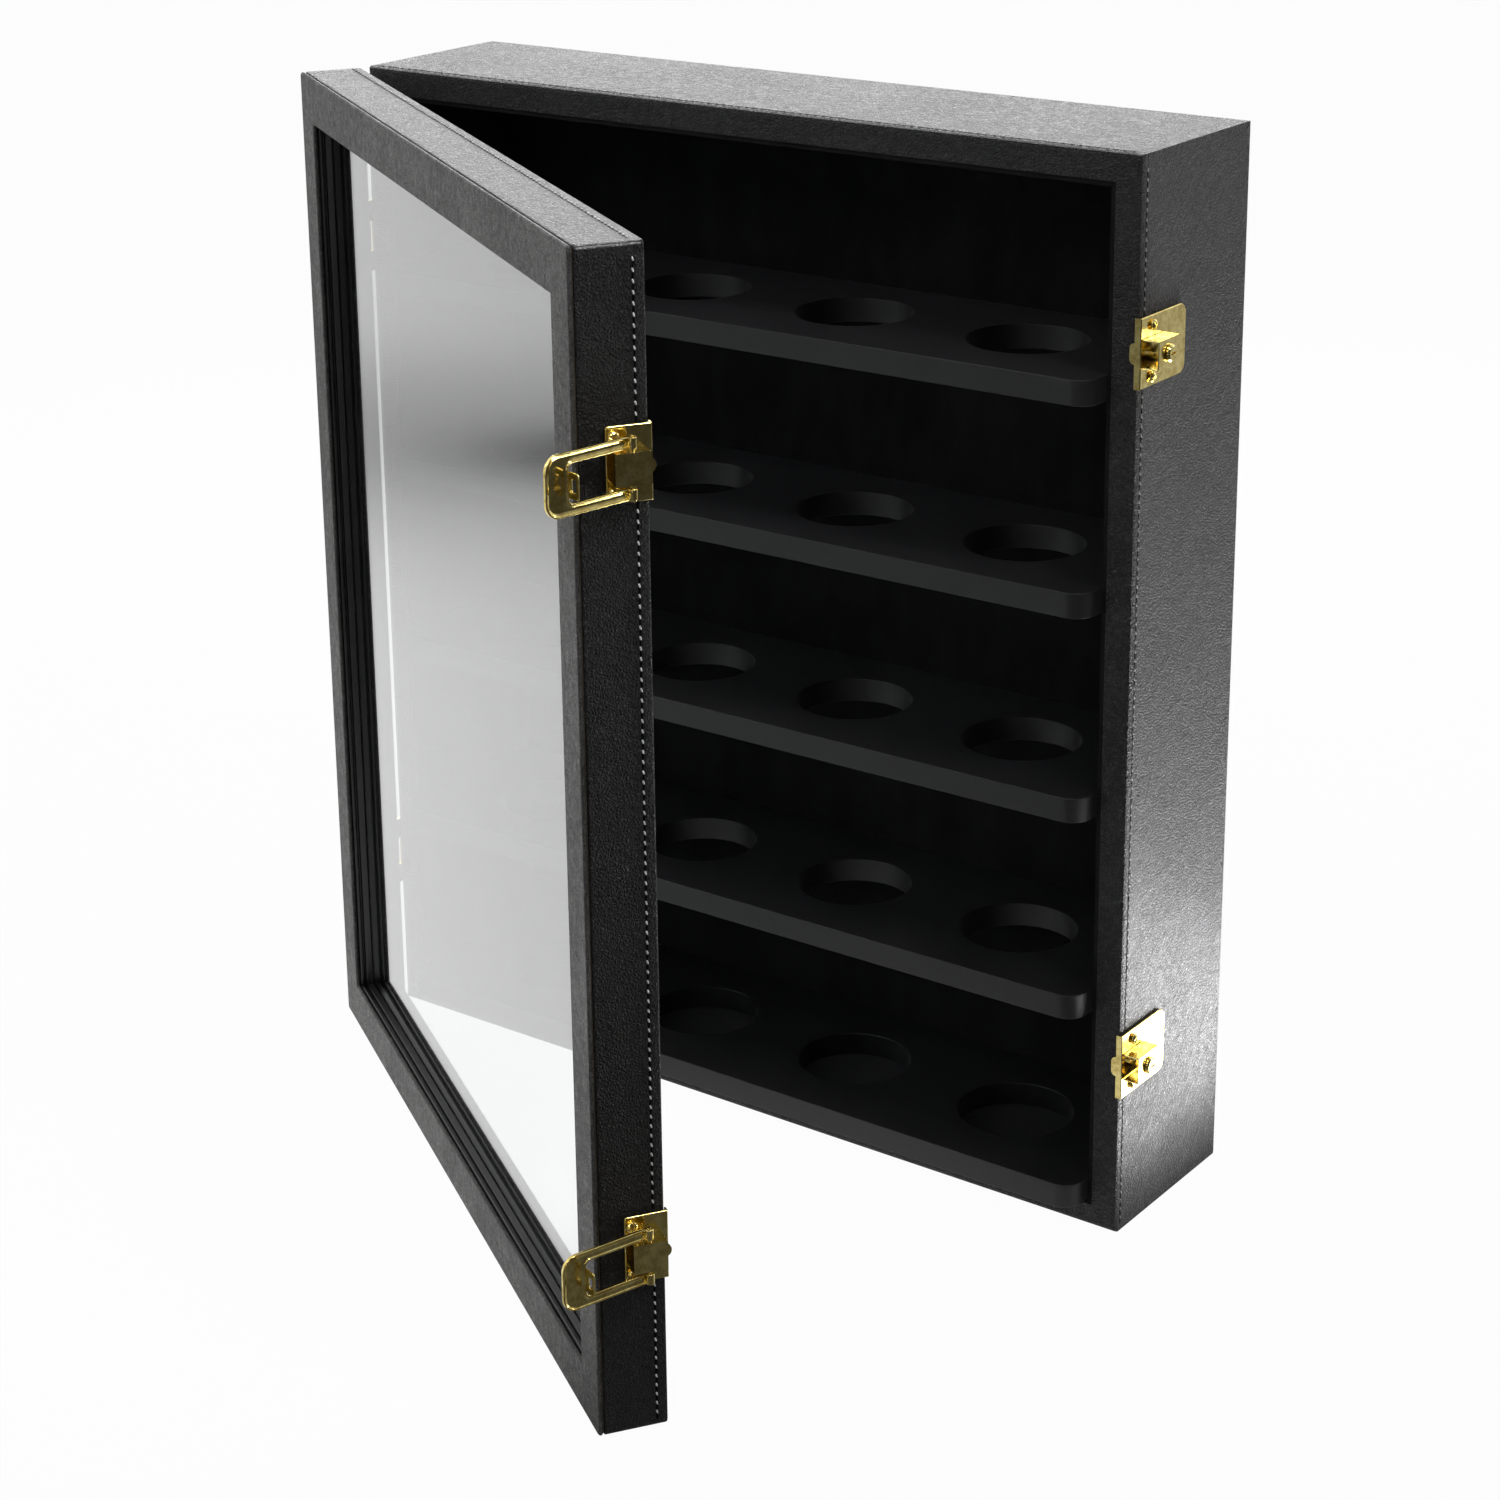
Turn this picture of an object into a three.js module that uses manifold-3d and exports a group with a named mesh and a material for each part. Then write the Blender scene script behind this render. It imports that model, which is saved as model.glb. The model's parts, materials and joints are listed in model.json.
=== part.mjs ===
import * as THREE from "three";
import { mergeVertices } from "three/addons/utils/BufferGeometryUtils.js";
import Module from "manifold-3d";

const wasm = await Module();
wasm.setup();

// Driving dimensions of a display case for twenty baseballs, in millimetres
const caseWidth = 460;
const caseHeight = 532;
const caseDepth = 102;
const doorDepth = 32;
const doorOpenDegrees = 33.4;
const seamGap = 2.6;
const glueGap = 0.3;
const cutOverrun = 4;

// Boards, covering and lining of the case
const sideBoard = 12;
const topBoard = 12;
const floorBoard = 10;
const backBoard = 4;
const coverThick = 1.2;
const coverRound = 2.4;
const coverRoundSteps = 2;
const sideLining = 2.2;
const topLining = 2.2;
const floorLining = 1.2;
const backLining = 1.5;
const liningSetback = 0.8;

// Shelves with a round seat for each ball
const shelfCount = 5;
const seatCount = 4;
const shelfThick = 12.4;
const topBayLower = 2.3;
const shelfProud = 15;
const shelfCornerRadius = 10;
const shelfEndGap = 0.3;
const seatDiameter = 59;
const seatEndMargin = 65.2;
const seatFromFront = 55;
const seatSteps = 14;
const cornerSteps = 5;

// Door frame, glass and the mouldings that hold the glass
const doorBoard = 12;
const doorFloorBoard = 10;
const facingWidth = 24.3;
const facingThick = 2.2;
const facingRound = 0.9;
const doorCornerRadius = 2.4;
const doorCornerSteps = 2;
const glassThick = 2.5;
const glassSetback = 9.5;
const stopLip = 0.9;
const stopGroove = 1.1;
const stopBeadWidth = 2.2;
const doorLining = 0.8;
const beadSteps = 4;

// Butt hinges on the left side faces
const hingeHeight = 38;
const hingeLeafWidth = 19;
const hingeLeafThick = 1.2;
const hingeBarrelRadius = 3;
const hingeBoreRadius = 1.5;
const hingePinRadius = 1.4;
const hingePinHeadRadius = 2.3;
const hingePinHead = 1.2;
const hingeKnuckleGap = 0.3;
const hingeMiddleShare = 0.4;
const hingeEdgeRound = 0.3;
const barrelSteps = 16;

// Lockable hasps, two on the right side faces
const latchFromEnd = 90;
const sheetThick = 0.8;
const plateThick = 1.6;
const plateEdgeRound = 0.4;
const keeperWidth = 40;
const keeperHeight = 33;
const keeperCornerRadius = 5;
const keeperLipDrop = 1.4;
const keeperLipThick = 0.8;
const alignCupRadius = 5;
const boxHeight = 13.8;
const boxOut = 10.5;
const boxRound = 0.5;
const lockBoxStart = 0.2;
const lockBoxLength = 19;
const plugHeadRadius = 4.2;
const plugHeadProud = 1.8;
const plugTopShare = 0.82;
const plugBodyRadius = 3.3;
const plugBodyGap = 0.3;
const plugBodyDepth = 3.3;
const keywayWidth = 1.2;
const keywayLength = 5;
const keywayDepth = 1.4;
const camPinRadius = 0.8;
const camPinLength = 2.2;
const camPinOffset = 2.4;
const catchLift = 2;
const catchThick = 2.7;
const catchGap = 0.3;
const catchPivotFromEnd = 2.7;
const catchEyeRadius = 1.5;
const catchBoreRadius = 0.95;
const catchHalfWidth = 0.8;
const catchArmLength = 6.5;
const catchArmDegrees = 156;
const catchFingerLength = 6.4;
const catchFingerDegrees = 45;
const catchTurnDegrees = 30;
const studRadius = 0.75;
const studHeadRadius = 1.25;
const studHead = 0.8;
const haspPlateWidth = 18.8;
const haspPlateHeight = 32.5;
const haspPlateCornerRadius = 1.4;
const haspBoxStart = 2;
const haspBoxLength = 15.5;
const haspTabRadius = 3.3;
const haspTabThick = 0.9;
const loopPivotIn = 9.9;
const loopPivotOut = 8.8;
const loopLength = 44;
const loopHalfHeight = 13.2;
const loopWindowHalf = 8.2;
const loopWindowCorner = 2.2;
const loopCornerRadius = 7;
const loopBarrelRadius = 2;
const loopBoreRadius = 1.16;
const loopPinRadius = 1.05;
const loopPinHead = 0.5;
const loopRimWidth = 1;
const loopRimDeep = 1;
const loopSwingDegrees = [22, 16];
const tongueGap = 0.5;
const tongueLength = 7.6;
const tongueHalfWidth = 5.5;
const tongueSlotHalf = 2.8;
const tongueSlotPlay = 0.4;
const smallSteps = 12;

// Dome head wood screws
const screwHeadRadius = 2.6;
const screwHeadHeight = 1.5;
const screwShankRadius = 1.2;
const screwShankLength = 9;
const screwHoleGap = 0.3;
const screwDomeSteps = 3;
const keeperScrewIn = 9;
const keeperScrewUp = 12;
const haspScrewIn = 15.6;
const haspScrewUp = 11.6;

// Sizes that follow from the driving dimensions
const halfWidth = caseWidth / 2;
const coverStep = coverThick + glueGap;
const rimSide = coverStep + sideBoard;
const rimTop = coverStep + topBoard;
const rimFloor = coverStep + floorBoard;
const innerHalf = halfWidth - rimSide - glueGap - sideLining;
const innerTop = caseHeight - rimTop - glueGap - topLining;
const innerFloor = rimFloor + glueGap + floorLining;
const firstShelf = innerFloor + glueGap;
const shelfSpacing = (innerTop + topBayLower - firstShelf) / shelfCount;
const shelfHalf = innerHalf - shelfEndGap;
const seatSpacing = (shelfHalf - seatEndMargin) * 2 / (seatCount - 1);
const frameBack = caseDepth - coverStep - backBoard - glueGap;
const backFace = caseDepth - coverStep - backBoard;
const innerBack = backFace - glueGap - backLining;
const hingeOut = glueGap + hingeBarrelRadius;
const doorRear = -seamGap / 2;
const doorFront = doorRear - doorDepth;
const doorRimSide = coverStep + doorBoard;
const doorRimFloor = coverStep + doorFloorBoard;
const doorBodyFront = doorFront + facingThick + glueGap;
const glassFront = doorFront + glassSetback;
const glassRear = glassFront + glassThick;
const boxFloor = glueGap + plateThick + glueGap;
const catchOut = [boxFloor + catchLift, boxFloor + catchLift + catchThick];

// Materials, one for each finish
const finish = (name, color, roughness, metalness = 0) =>
  new THREE.MeshStandardMaterial({ name, color, roughness, metalness });
const leatherette = finish("leatherette", 0x101012, 0.45);
const board = finish("board", 0x6b5238, 0.8);
const velvet = finish("velvet", 0x08080a, 0.95);
const shelfFelt = finish("shelf_felt", 0x0c0c0e, 0.85);
const blackMoulding = finish("black_moulding", 0x0b0b0c, 0.5);
const brass = finish("brass", 0xd9a93a, 0.18, 1);
const steel = finish("steel", 0xb9b9b4, 0.3, 1);
const glass = new THREE.MeshStandardMaterial({
  name: "glass", color: 0xe8eef0, roughness: 0.03, metalness: 0, transparent: true, opacity: 0.3,
});

// Geometry helpers
const axisX = new THREE.Vector3(1, 0, 0);
const axisY = new THREE.Vector3(0, 1, 0);
const axisZ = new THREE.Vector3(0, 0, 1);
const outlineToXZ = new THREE.Matrix4().makeBasis(axisX, axisZ, axisY.clone().negate());
const outlineToYZ = new THREE.Matrix4().makeBasis(axisY, axisZ, axisX);

function block([x0, x1], [y0, y1], [z0, z1]) {
  const geometry = new THREE.BoxGeometry(x1 - x0, y1 - y0, z1 - z0);
  return geometry.translate((x0 + x1) / 2, (y0 + y1) / 2, (z0 + z1) / 2);
}

function roundRect([a0, a1], [b0, b1], radii, Kind = THREE.Shape) {
  const [r0, r1, r2, r3] = typeof radii === "number" ? [radii, radii, radii, radii] : radii;
  const shape = new Kind();
  shape.moveTo(a0 + r0, b0);
  shape.lineTo(a1 - r1, b0);
  if (r1 > 0) shape.absarc(a1 - r1, b0 + r1, r1, -Math.PI / 2, 0);
  shape.lineTo(a1, b1 - r2);
  if (r2 > 0) shape.absarc(a1 - r2, b1 - r2, r2, 0, Math.PI / 2);
  shape.lineTo(a0 + r3, b1);
  if (r3 > 0) shape.absarc(a0 + r3, b1 - r3, r3, Math.PI / 2, Math.PI);
  shape.lineTo(a0, b0 + r0);
  if (r0 > 0) shape.absarc(a0 + r0, b0 + r0, r0, Math.PI, Math.PI * 3 / 2);
  return shape;
}

function circle(a, b, radius) {
  const path = new THREE.Path();
  path.absarc(a, b, radius, 0, Math.PI * 2, true);
  return path;
}

function extrude(shape, length, bevel, bevelSteps, curveSegments) {
  return new THREE.ExtrudeGeometry(shape, {
    depth: length - 2 * bevel,
    bevelEnabled: bevel > 0,
    bevelThickness: bevel,
    bevelSize: bevel,
    bevelOffset: -bevel,
    bevelSegments: bevelSteps,
    curveSegments,
  }).translate(0, 0, bevel);
}

const extrudeX = (shape, [x0, x1], bevel = 0, bevelSteps = 1, curveSegments = cornerSteps) =>
  extrude(shape, x1 - x0, bevel, bevelSteps, curveSegments).applyMatrix4(outlineToYZ).translate(x0, 0, 0);
const extrudeY = (shape, [y0, y1], bevel = 0, bevelSteps = 1, curveSegments = cornerSteps) =>
  extrude(shape, y1 - y0, bevel, bevelSteps, curveSegments).applyMatrix4(outlineToXZ).translate(0, y1, 0);
const extrudeZ = (shape, [z0, z1], bevel = 0, bevelSteps = 1, curveSegments = cornerSteps) =>
  extrude(shape, z1 - z0, bevel, bevelSteps, curveSegments).translate(0, 0, z0);

const rodZ = (x, y, [z0, z1], radius, steps = barrelSteps) =>
  new THREE.CylinderGeometry(radius, radius, z1 - z0, steps).rotateX(Math.PI / 2)
    .translate(x, y, (z0 + z1) / 2);
const rodX = ([x0, x1], y, z, radius, steps = barrelSteps) =>
  new THREE.CylinderGeometry(radius, radius, x1 - x0, steps).rotateZ(-Math.PI / 2)
    .translate((x0 + x1) / 2, y, z);

function solid(geometry) {
  const bare = geometry.clone();
  bare.deleteAttribute("normal");
  bare.deleteAttribute("uv");
  const merged = mergeVertices(bare);
  return new wasm.Manifold(new wasm.Mesh({
    numProp: 3,
    vertProperties: new Float32Array(merged.attributes.position.array),
    triVerts: new Uint32Array(merged.index.array),
  }));
}

function carve(body, cuts = [], joins = []) {
  let result = solid(body);
  for (const join of joins) result = result.add(solid(join));
  for (const cut of cuts) result = result.subtract(solid(cut));
  const mesh = result.getMesh();
  const geometry = new THREE.BufferGeometry();
  geometry.setAttribute("position", new THREE.BufferAttribute(mesh.vertProperties, 3));
  geometry.setIndex(new THREE.BufferAttribute(mesh.triVerts, 1));
  geometry.computeVertexNormals();
  return geometry;
}

function piece(parent, name, geometry, material) {
  const mesh = new THREE.Mesh(geometry, material);
  mesh.name = name;
  parent.add(mesh);
  return mesh;
}

// Holes that the screws of the two hasps need in whatever lies under their plates
const latchHeights = { upper: caseHeight - latchFromEnd, lower: latchFromEnd };
const screwHoles = (x, y, up) =>
  Object.values(latchHeights).flatMap((z) => [-up, up].map((dz) =>
    rodX([x - screwShankLength, x + cutOverrun], y, z + dz, screwShankRadius + screwHoleGap, smallSteps)));

// The case: a shallow box of five boards in a stitched cover, lined with velvet
function buildCase(group) {
  const caseScrewHoles = screwHoles(halfWidth, keeperScrewIn, keeperScrewUp);
  const outer = roundRect([-halfWidth, halfWidth], [0, caseHeight], 0);
  const boardSpace = block(
    [-halfWidth + coverThick, halfWidth - coverThick],
    [coverThick, caseDepth - coverThick],
    [coverThick, caseHeight - coverThick]);
  const window = block(
    [-halfWidth + rimSide, halfWidth - rimSide],
    [-cutOverrun, cutOverrun],
    [rimFloor, caseHeight - rimTop]);
  piece(group, "case_cover",
    carve(extrudeY(outer, [0, caseDepth], coverRound, coverRoundSteps),
      [boardSpace, window, ...caseScrewHoles]), leatherette);

  const across = [-halfWidth + coverStep, halfWidth - coverStep];
  const frameSpan = [coverStep, frameBack];
  piece(group, "case_top_board",
    block(across, frameSpan, [caseHeight - rimTop, caseHeight - coverStep]), board);
  piece(group, "case_bottom_board", block(across, frameSpan, [coverStep, rimFloor]), board);
  const sideSpan = [rimFloor + glueGap, caseHeight - rimTop - glueGap];
  piece(group, "case_left_board",
    block([-halfWidth + coverStep, -halfWidth + rimSide], frameSpan, sideSpan), board);
  piece(group, "case_right_board",
    carve(block([halfWidth - rimSide, halfWidth - coverStep], frameSpan, sideSpan), caseScrewHoles), board);
  piece(group, "case_back_board",
    block(across, [backFace, caseDepth - coverStep], [coverStep, caseHeight - coverStep]), board);

  const liningSpan = [liningSetback, backFace - glueGap];
  const liningHalf = halfWidth - rimSide - glueGap;
  const liningRise = [rimFloor + glueGap, caseHeight - rimTop - glueGap];
  piece(group, "left_lining", block([-liningHalf, -innerHalf], liningSpan, liningRise), velvet);
  piece(group, "right_lining", block([innerHalf, liningHalf], liningSpan, liningRise), velvet);
  const between = [-innerHalf + glueGap, innerHalf - glueGap];
  piece(group, "top_lining",
    block(between, liningSpan, [innerTop, caseHeight - rimTop - glueGap]), velvet);
  piece(group, "floor_lining", block(between, liningSpan, [rimFloor + glueGap, innerFloor]), velvet);
  piece(group, "back_lining",
    block(between, [innerBack, backFace - glueGap], [innerFloor + glueGap, innerTop - glueGap]), velvet);
}

// Shelves: rounded front corners stand proud of the case, and four seats are cut through each
function buildShelves(group) {
  const outline = roundRect([-shelfHalf, shelfHalf], [-shelfProud, innerBack - glueGap],
    [shelfCornerRadius, shelfCornerRadius, 0, 0]);
  const seatY = seatFromFront - shelfProud;
  for (let seat = 0; seat < seatCount; seat += 1) {
    const x = (seat - (seatCount - 1) / 2) * seatSpacing;
    outline.holes.push(circle(x, seatY, seatDiameter / 2));
  }
  for (let shelf = 0; shelf < shelfCount; shelf += 1) {
    const z = firstShelf + shelf * shelfSpacing;
    piece(group, `ball_shelf_${shelf + 1}`,
      extrudeZ(outline, [z, z + shelfThick], 0, 1, seatSteps), shelfFelt);
  }
}

// Moulding that stands in front of the glass: a square bar with two beads on its inner edge.
// Its section is drawn from the board towards the opening and from the facing towards the glass.
function stopSection(root, reach, front, rear) {
  const middle = (front + rear) / 2;
  const shape = new THREE.Shape();
  shape.moveTo(root, front);
  shape.lineTo(reach - stopLip, front);
  shape.absarc(reach - stopLip, front + stopBeadWidth / 2, stopBeadWidth / 2, -Math.PI / 2, Math.PI / 2);
  shape.lineTo(reach - stopLip - stopGroove, front + stopBeadWidth);
  shape.lineTo(reach - stopLip - stopGroove, middle);
  shape.lineTo(reach, middle);
  shape.lineTo(reach + stopLip, rear);
  shape.lineTo(root, rear);
  return shape;
}

function buildDoorFrame(door, doorWidth) {
  const left = hingeOut;
  const right = hingeOut + doorWidth;
  const doorScrewHoles = screwHoles(right, doorRear - haspScrewIn, haspScrewUp);

  const facing = roundRect([left, right], [0, caseHeight], doorCornerRadius);
  facing.holes.push(roundRect(
    [left + facingWidth, right - facingWidth], [facingWidth, caseHeight - facingWidth], 0, THREE.Path));
  piece(door, "door_facing",
    extrudeY(facing, [doorFront, doorFront + facingThick], facingRound, coverRoundSteps, doorCornerSteps),
    leatherette);

  const outer = roundRect([left, right], [0, caseHeight], doorCornerRadius);
  const boardSpace = block([left + coverThick, right - coverThick],
    [doorBodyFront - cutOverrun, doorRear - coverThick], [coverThick, caseHeight - coverThick]);
  const window = block([left + doorRimSide, right - doorRimSide],
    [doorBodyFront, doorRear + cutOverrun], [doorRimFloor, caseHeight - doorRimSide]);
  piece(door, "door_cover",
    carve(extrudeY(outer, [doorBodyFront, doorRear], facingRound, coverRoundSteps, doorCornerSteps),
      [boardSpace, window, ...doorScrewHoles]), leatherette);

  const boardDeep = [doorBodyFront, doorRear - coverStep];
  const across = [left + coverStep, right - coverStep];
  piece(door, "door_top_rail",
    block(across, boardDeep, [caseHeight - doorRimSide, caseHeight - coverStep]), board);
  piece(door, "door_bottom_rail", block(across, boardDeep, [coverStep, doorRimFloor]), board);
  const stileRise = [doorRimFloor + glueGap, caseHeight - doorRimSide - glueGap];
  piece(door, "door_hinge_stile",
    block([left + coverStep, left + doorRimSide], boardDeep, stileRise), board);
  piece(door, "door_latch_stile",
    carve(block([right - doorRimSide, right - coverStep], boardDeep, stileRise), doorScrewHoles), board);

  // Glass, its front mouldings and the lining strip behind it
  const seat = doorRimSide + glueGap;
  const seatFloor = doorRimFloor + glueGap;
  piece(door, "glass_pane",
    block([left + seat, right - seat], [glassFront, glassRear], [seatFloor, caseHeight - seat]), glass);

  const stopDeep = [doorBodyFront, glassFront - glueGap];
  const sideStop = stopSection(seat, facingWidth, ...stopDeep).getPoints(beadSteps);
  const floorStop = stopSection(seatFloor, facingWidth, ...stopDeep).getPoints(beadSteps);
  const placed = (points, place) =>
    new THREE.Shape(points.map((p) => new THREE.Vector2(...place(p.x, p.y))));
  const rise = [seatFloor, caseHeight - seat];
  const run = [left + facingWidth + stopLip + glueGap, right - facingWidth - stopLip - glueGap];
  piece(door, "glass_stop_left",
    extrudeZ(placed(sideStop, (inward, y) => [left + inward, y]), rise), blackMoulding);
  piece(door, "glass_stop_right",
    extrudeZ(placed(sideStop, (inward, y) => [right - inward, y]), rise), blackMoulding);
  piece(door, "glass_stop_top",
    extrudeX(placed(sideStop, (inward, y) => [y, caseHeight - inward]), run), blackMoulding);
  piece(door, "glass_stop_bottom",
    extrudeX(placed(floorStop, (inward, y) => [y, inward]), run), blackMoulding);

  const liningRing = roundRect([left + seat, right - seat], [seatFloor, caseHeight - seat], 0);
  liningRing.holes.push(roundRect([left + seat + doorLining, right - seat - doorLining],
    [seatFloor + doorLining, caseHeight - seat - doorLining], 0, THREE.Path));
  piece(door, "door_lining",
    extrudeY(liningRing, [glassRear + glueGap, doorRear - liningSetback]), velvet);
}

// Butt hinge: two leaves on the side faces and a pin with upset ends
function buildHinges(group, door) {
  const half = hingeHeight / 2;
  const middle = hingeHeight * hingeMiddleShare / 2;
  for (const [name, z] of Object.entries(latchHeights)) {
    const leafOutline = (a0, a1) => roundRect([a0, a1], [z - half, z + half], plateEdgeRound);
    const leafOut = [-halfWidth - glueGap - hingeLeafThick, -halfWidth - glueGap];
    const pinX = -halfWidth - hingeOut;
    const caseSide = extrudeX(leafOutline(doorRear, hingeLeafWidth), leafOut, hingeEdgeRound);
    const domes = (x, y) => [-half, half].map((end) =>
      screwDome().rotateZ(Math.PI / 2).translate(x, y, z + end * hingeMiddleShare * 3 / 2));
    const bore = rodZ(pinX, doorRear, [z - half - cutOverrun, z + half + cutOverrun], hingeBoreRadius);
    const gapBand = block([pinX - hingeBarrelRadius - cutOverrun, pinX + hingeBarrelRadius],
      [doorRear - hingeBarrelRadius - cutOverrun, doorRear + hingeBarrelRadius + hingeKnuckleGap],
      [z - middle - hingeKnuckleGap, z + middle + hingeKnuckleGap]);
    piece(group, `${name}_hinge_case_leaf`,
      carve(caseSide, [bore, gapBand], [
        rodZ(pinX, doorRear, [z - half, z + half], hingeBarrelRadius),
        ...domes(leafOut[0], hingeLeafWidth / 2)]), brass);
    piece(group, `${name}_hinge_pin`,
      carve(rodZ(pinX, doorRear, [z - half - hingePinHead, z + half + hingePinHead], hingePinRadius), [], [
        rodZ(pinX, doorRear, [z + half + glueGap, z + half + hingePinHead], hingePinHeadRadius),
        rodZ(pinX, doorRear, [z - half - hingePinHead, z - half - glueGap], hingePinHeadRadius)]), brass);

    const doorOut = [hingeOut - glueGap - hingeLeafThick, hingeOut - glueGap];
    const doorSide = extrudeX(leafOutline(-hingeLeafWidth, 0), doorOut, hingeEdgeRound);
    const doorBore = rodZ(0, 0, [z - half, z + half], hingeBoreRadius);
    const ends = [[z - half - cutOverrun, z - middle], [z + middle, z + half + cutOverrun]].map((span) =>
      block([-hingeBarrelRadius, hingeBarrelRadius],
        [-hingeBarrelRadius - hingeKnuckleGap, hingeBarrelRadius + hingeKnuckleGap], span));
    piece(door, `${name}_hinge_door_leaf`,
      carve(doorSide, [doorBore, ...ends], [
        rodZ(0, 0, [z - middle, z + middle], hingeBarrelRadius),
        ...domes(doorOut[0], -hingeLeafWidth / 2)]), brass);
  }
}

// Dome of a screw head, its axis up +Y and its flat underside a little inside what carries it
function screwDome() {
  const points = [[0, -plateEdgeRound], [screwHeadRadius, -plateEdgeRound]]
    .map(([r, h]) => new THREE.Vector2(r, h));
  for (let step = 0; step <= screwDomeSteps; step += 1) {
    const angle = step / screwDomeSteps * Math.PI / 2;
    points.push(new THREE.Vector2(
      screwHeadRadius * Math.cos(angle), screwHeadHeight * Math.sin(angle)));
  }
  return new THREE.LatheGeometry(points, smallSteps);
}

// Whole wood screw: dome head that rests on a plate and a shank that runs down into the board
function woodScrew() {
  const points = [new THREE.Vector2(0, -screwShankLength), new THREE.Vector2(screwShankRadius / 2,
    -screwShankLength + screwShankRadius), new THREE.Vector2(screwShankRadius, -screwShankLength
    + screwShankRadius * 2), new THREE.Vector2(screwShankRadius, 0), new THREE.Vector2(screwHeadRadius, 0)];
  for (let step = 0; step <= screwDomeSteps; step += 1) {
    const angle = step / screwDomeSteps * Math.PI / 2;
    points.push(new THREE.Vector2(screwHeadRadius * Math.cos(angle),
      plateEdgeRound + screwHeadHeight * Math.sin(angle)));
  }
  return new THREE.LatheGeometry(points, smallSteps).rotateZ(-Math.PI / 2);
}

// Keeper side of a hasp. Its group has x outwards from the case side, y inwards from the rim.
function buildKeeper(group, name) {
  const halfBox = boxHeight / 2;
  const plateOut = [glueGap, glueGap + plateThick];
  const halfPlate = keeperHeight / 2;
  const lipY = [-glueGap - keeperLipThick, -glueGap];
  const plateOutline = roundRect([lipY[0], keeperWidth], [-halfPlate, halfPlate],
    [0, keeperCornerRadius, keeperCornerRadius, 0]);
  const holes = [-keeperScrewUp, keeperScrewUp].map((z) =>
    rodX([-cutOverrun, boxOut], keeperScrewIn, z, screwShankRadius + screwHoleGap, smallSteps));
  const lip = block([-keeperLipDrop, glueGap + plateThick / 2], lipY, [-halfPlate, halfPlate]);
  const cup = extrudeY(roundRect([-keeperLipDrop - alignCupRadius / 2, plateThick / 2],
    [-alignCupRadius, alignCupRadius], [alignCupRadius / 2, 0, 0, alignCupRadius / 2]), lipY);
  piece(group, `${name}_keeper_plate`,
    carve(extrudeX(plateOutline, plateOut, plateEdgeRound), holes, [lip, cup]), brass);

  // Lock box: folded sheet, open towards the door and the plate, with a stud for the catch and a
  // notch that the catch reaches through
  const boxEnd = lockBoxStart + lockBoxLength;
  const plugY = lockBoxStart + lockBoxLength / 2;
  const pivot = [boxEnd - catchPivotFromEnd, catchEyeRadius + catchGap + sheetThick - halfBox];
  const shell = extrudeX(roundRect([lockBoxStart, boxEnd], [-halfBox, halfBox], boxRound),
    [boxFloor, boxOut], 0);
  const hollow = block([boxFloor - cutOverrun, boxOut - sheetThick],
    [lockBoxStart - cutOverrun, boxEnd - sheetThick], [-halfBox + sheetThick, halfBox - sheetThick]);
  const raised = THREE.MathUtils.degToRad(catchFingerDegrees + catchTurnDegrees);
  const notchTop = pivot[1] + catchFingerLength * Math.sin(raised) + catchHalfWidth;
  const notch = block([boxFloor - cutOverrun, catchOut[1] + catchGap],
    [boxEnd - cutOverrun, boxEnd + cutOverrun], [pivot[1] - catchGap, notchTop]);
  const plugHole = rodX([boxOut - cutOverrun, boxOut + cutOverrun], plugY, 0,
    plugBodyRadius + plugBodyGap);
  const box = carve(shell, [hollow, notch, plugHole]);
  const studEnd = catchOut[0] - catchGap;
  piece(group, `${name}_lock_box`, carve(box, [], [
    rodX([studEnd - studHead, boxOut - sheetThick / 2], ...pivot, studRadius, smallSteps),
    rodX([studEnd - studHead, studEnd], ...pivot, studHeadRadius, smallSteps),
    rodX([catchOut[1] + catchGap, boxOut - sheetThick / 2], ...pivot, studHeadRadius, smallSteps),
  ]), brass);

  // Key plug: head outside the box, body through its wall and an off-centre cam pin below
  const headFloor = boxOut + glueGap;
  const bodyEnd = boxOut - plugBodyDepth;
  const headPoints = [[0, 0], [plugHeadRadius, 0], [plugHeadRadius, plugHeadProud / 2],
    [plugHeadRadius * plugTopShare, plugHeadProud], [0, plugHeadProud]]
    .map(([r, h]) => new THREE.Vector2(r, h));
  const head = new THREE.LatheGeometry(headPoints, barrelSteps).rotateZ(-Math.PI / 2)
    .translate(headFloor, plugY, 0);
  const keyway = block([headFloor + plugHeadProud - keywayDepth, boxOut + cutOverrun],
    [plugY - keywayLength / 2, plugY + keywayLength / 2], [-keywayWidth / 2, keywayWidth / 2]);
  piece(group, `${name}_lock_plug`,
    carve(head, [keyway], [
      rodX([bodyEnd, headFloor + plugHeadProud / 2], plugY, 0, plugBodyRadius),
      rodX([bodyEnd - camPinLength, bodyEnd + camPinLength / 2], plugY + camPinOffset, 0, camPinRadius,
        smallSteps)]), brass);

  // Catch: flat claw on the stud. The cam pin presses its arm down, which lifts its finger out of
  // the slot in the tongue of the loop.
  const limb = (length, degrees) =>
    block(catchOut, [0, length], [-catchHalfWidth, catchHalfWidth])
      .rotateX(THREE.MathUtils.degToRad(degrees)).translate(0, ...pivot);
  const eye = rodX(catchOut, ...pivot, catchEyeRadius);
  const bore = rodX([catchOut[0] - cutOverrun, catchOut[1] + cutOverrun], ...pivot, catchBoreRadius);
  piece(group, `${name}_lock_catch`, carve(eye, [bore],
    [limb(catchArmLength, catchArmDegrees), limb(catchFingerLength, catchFingerDegrees)]), steel);

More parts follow.
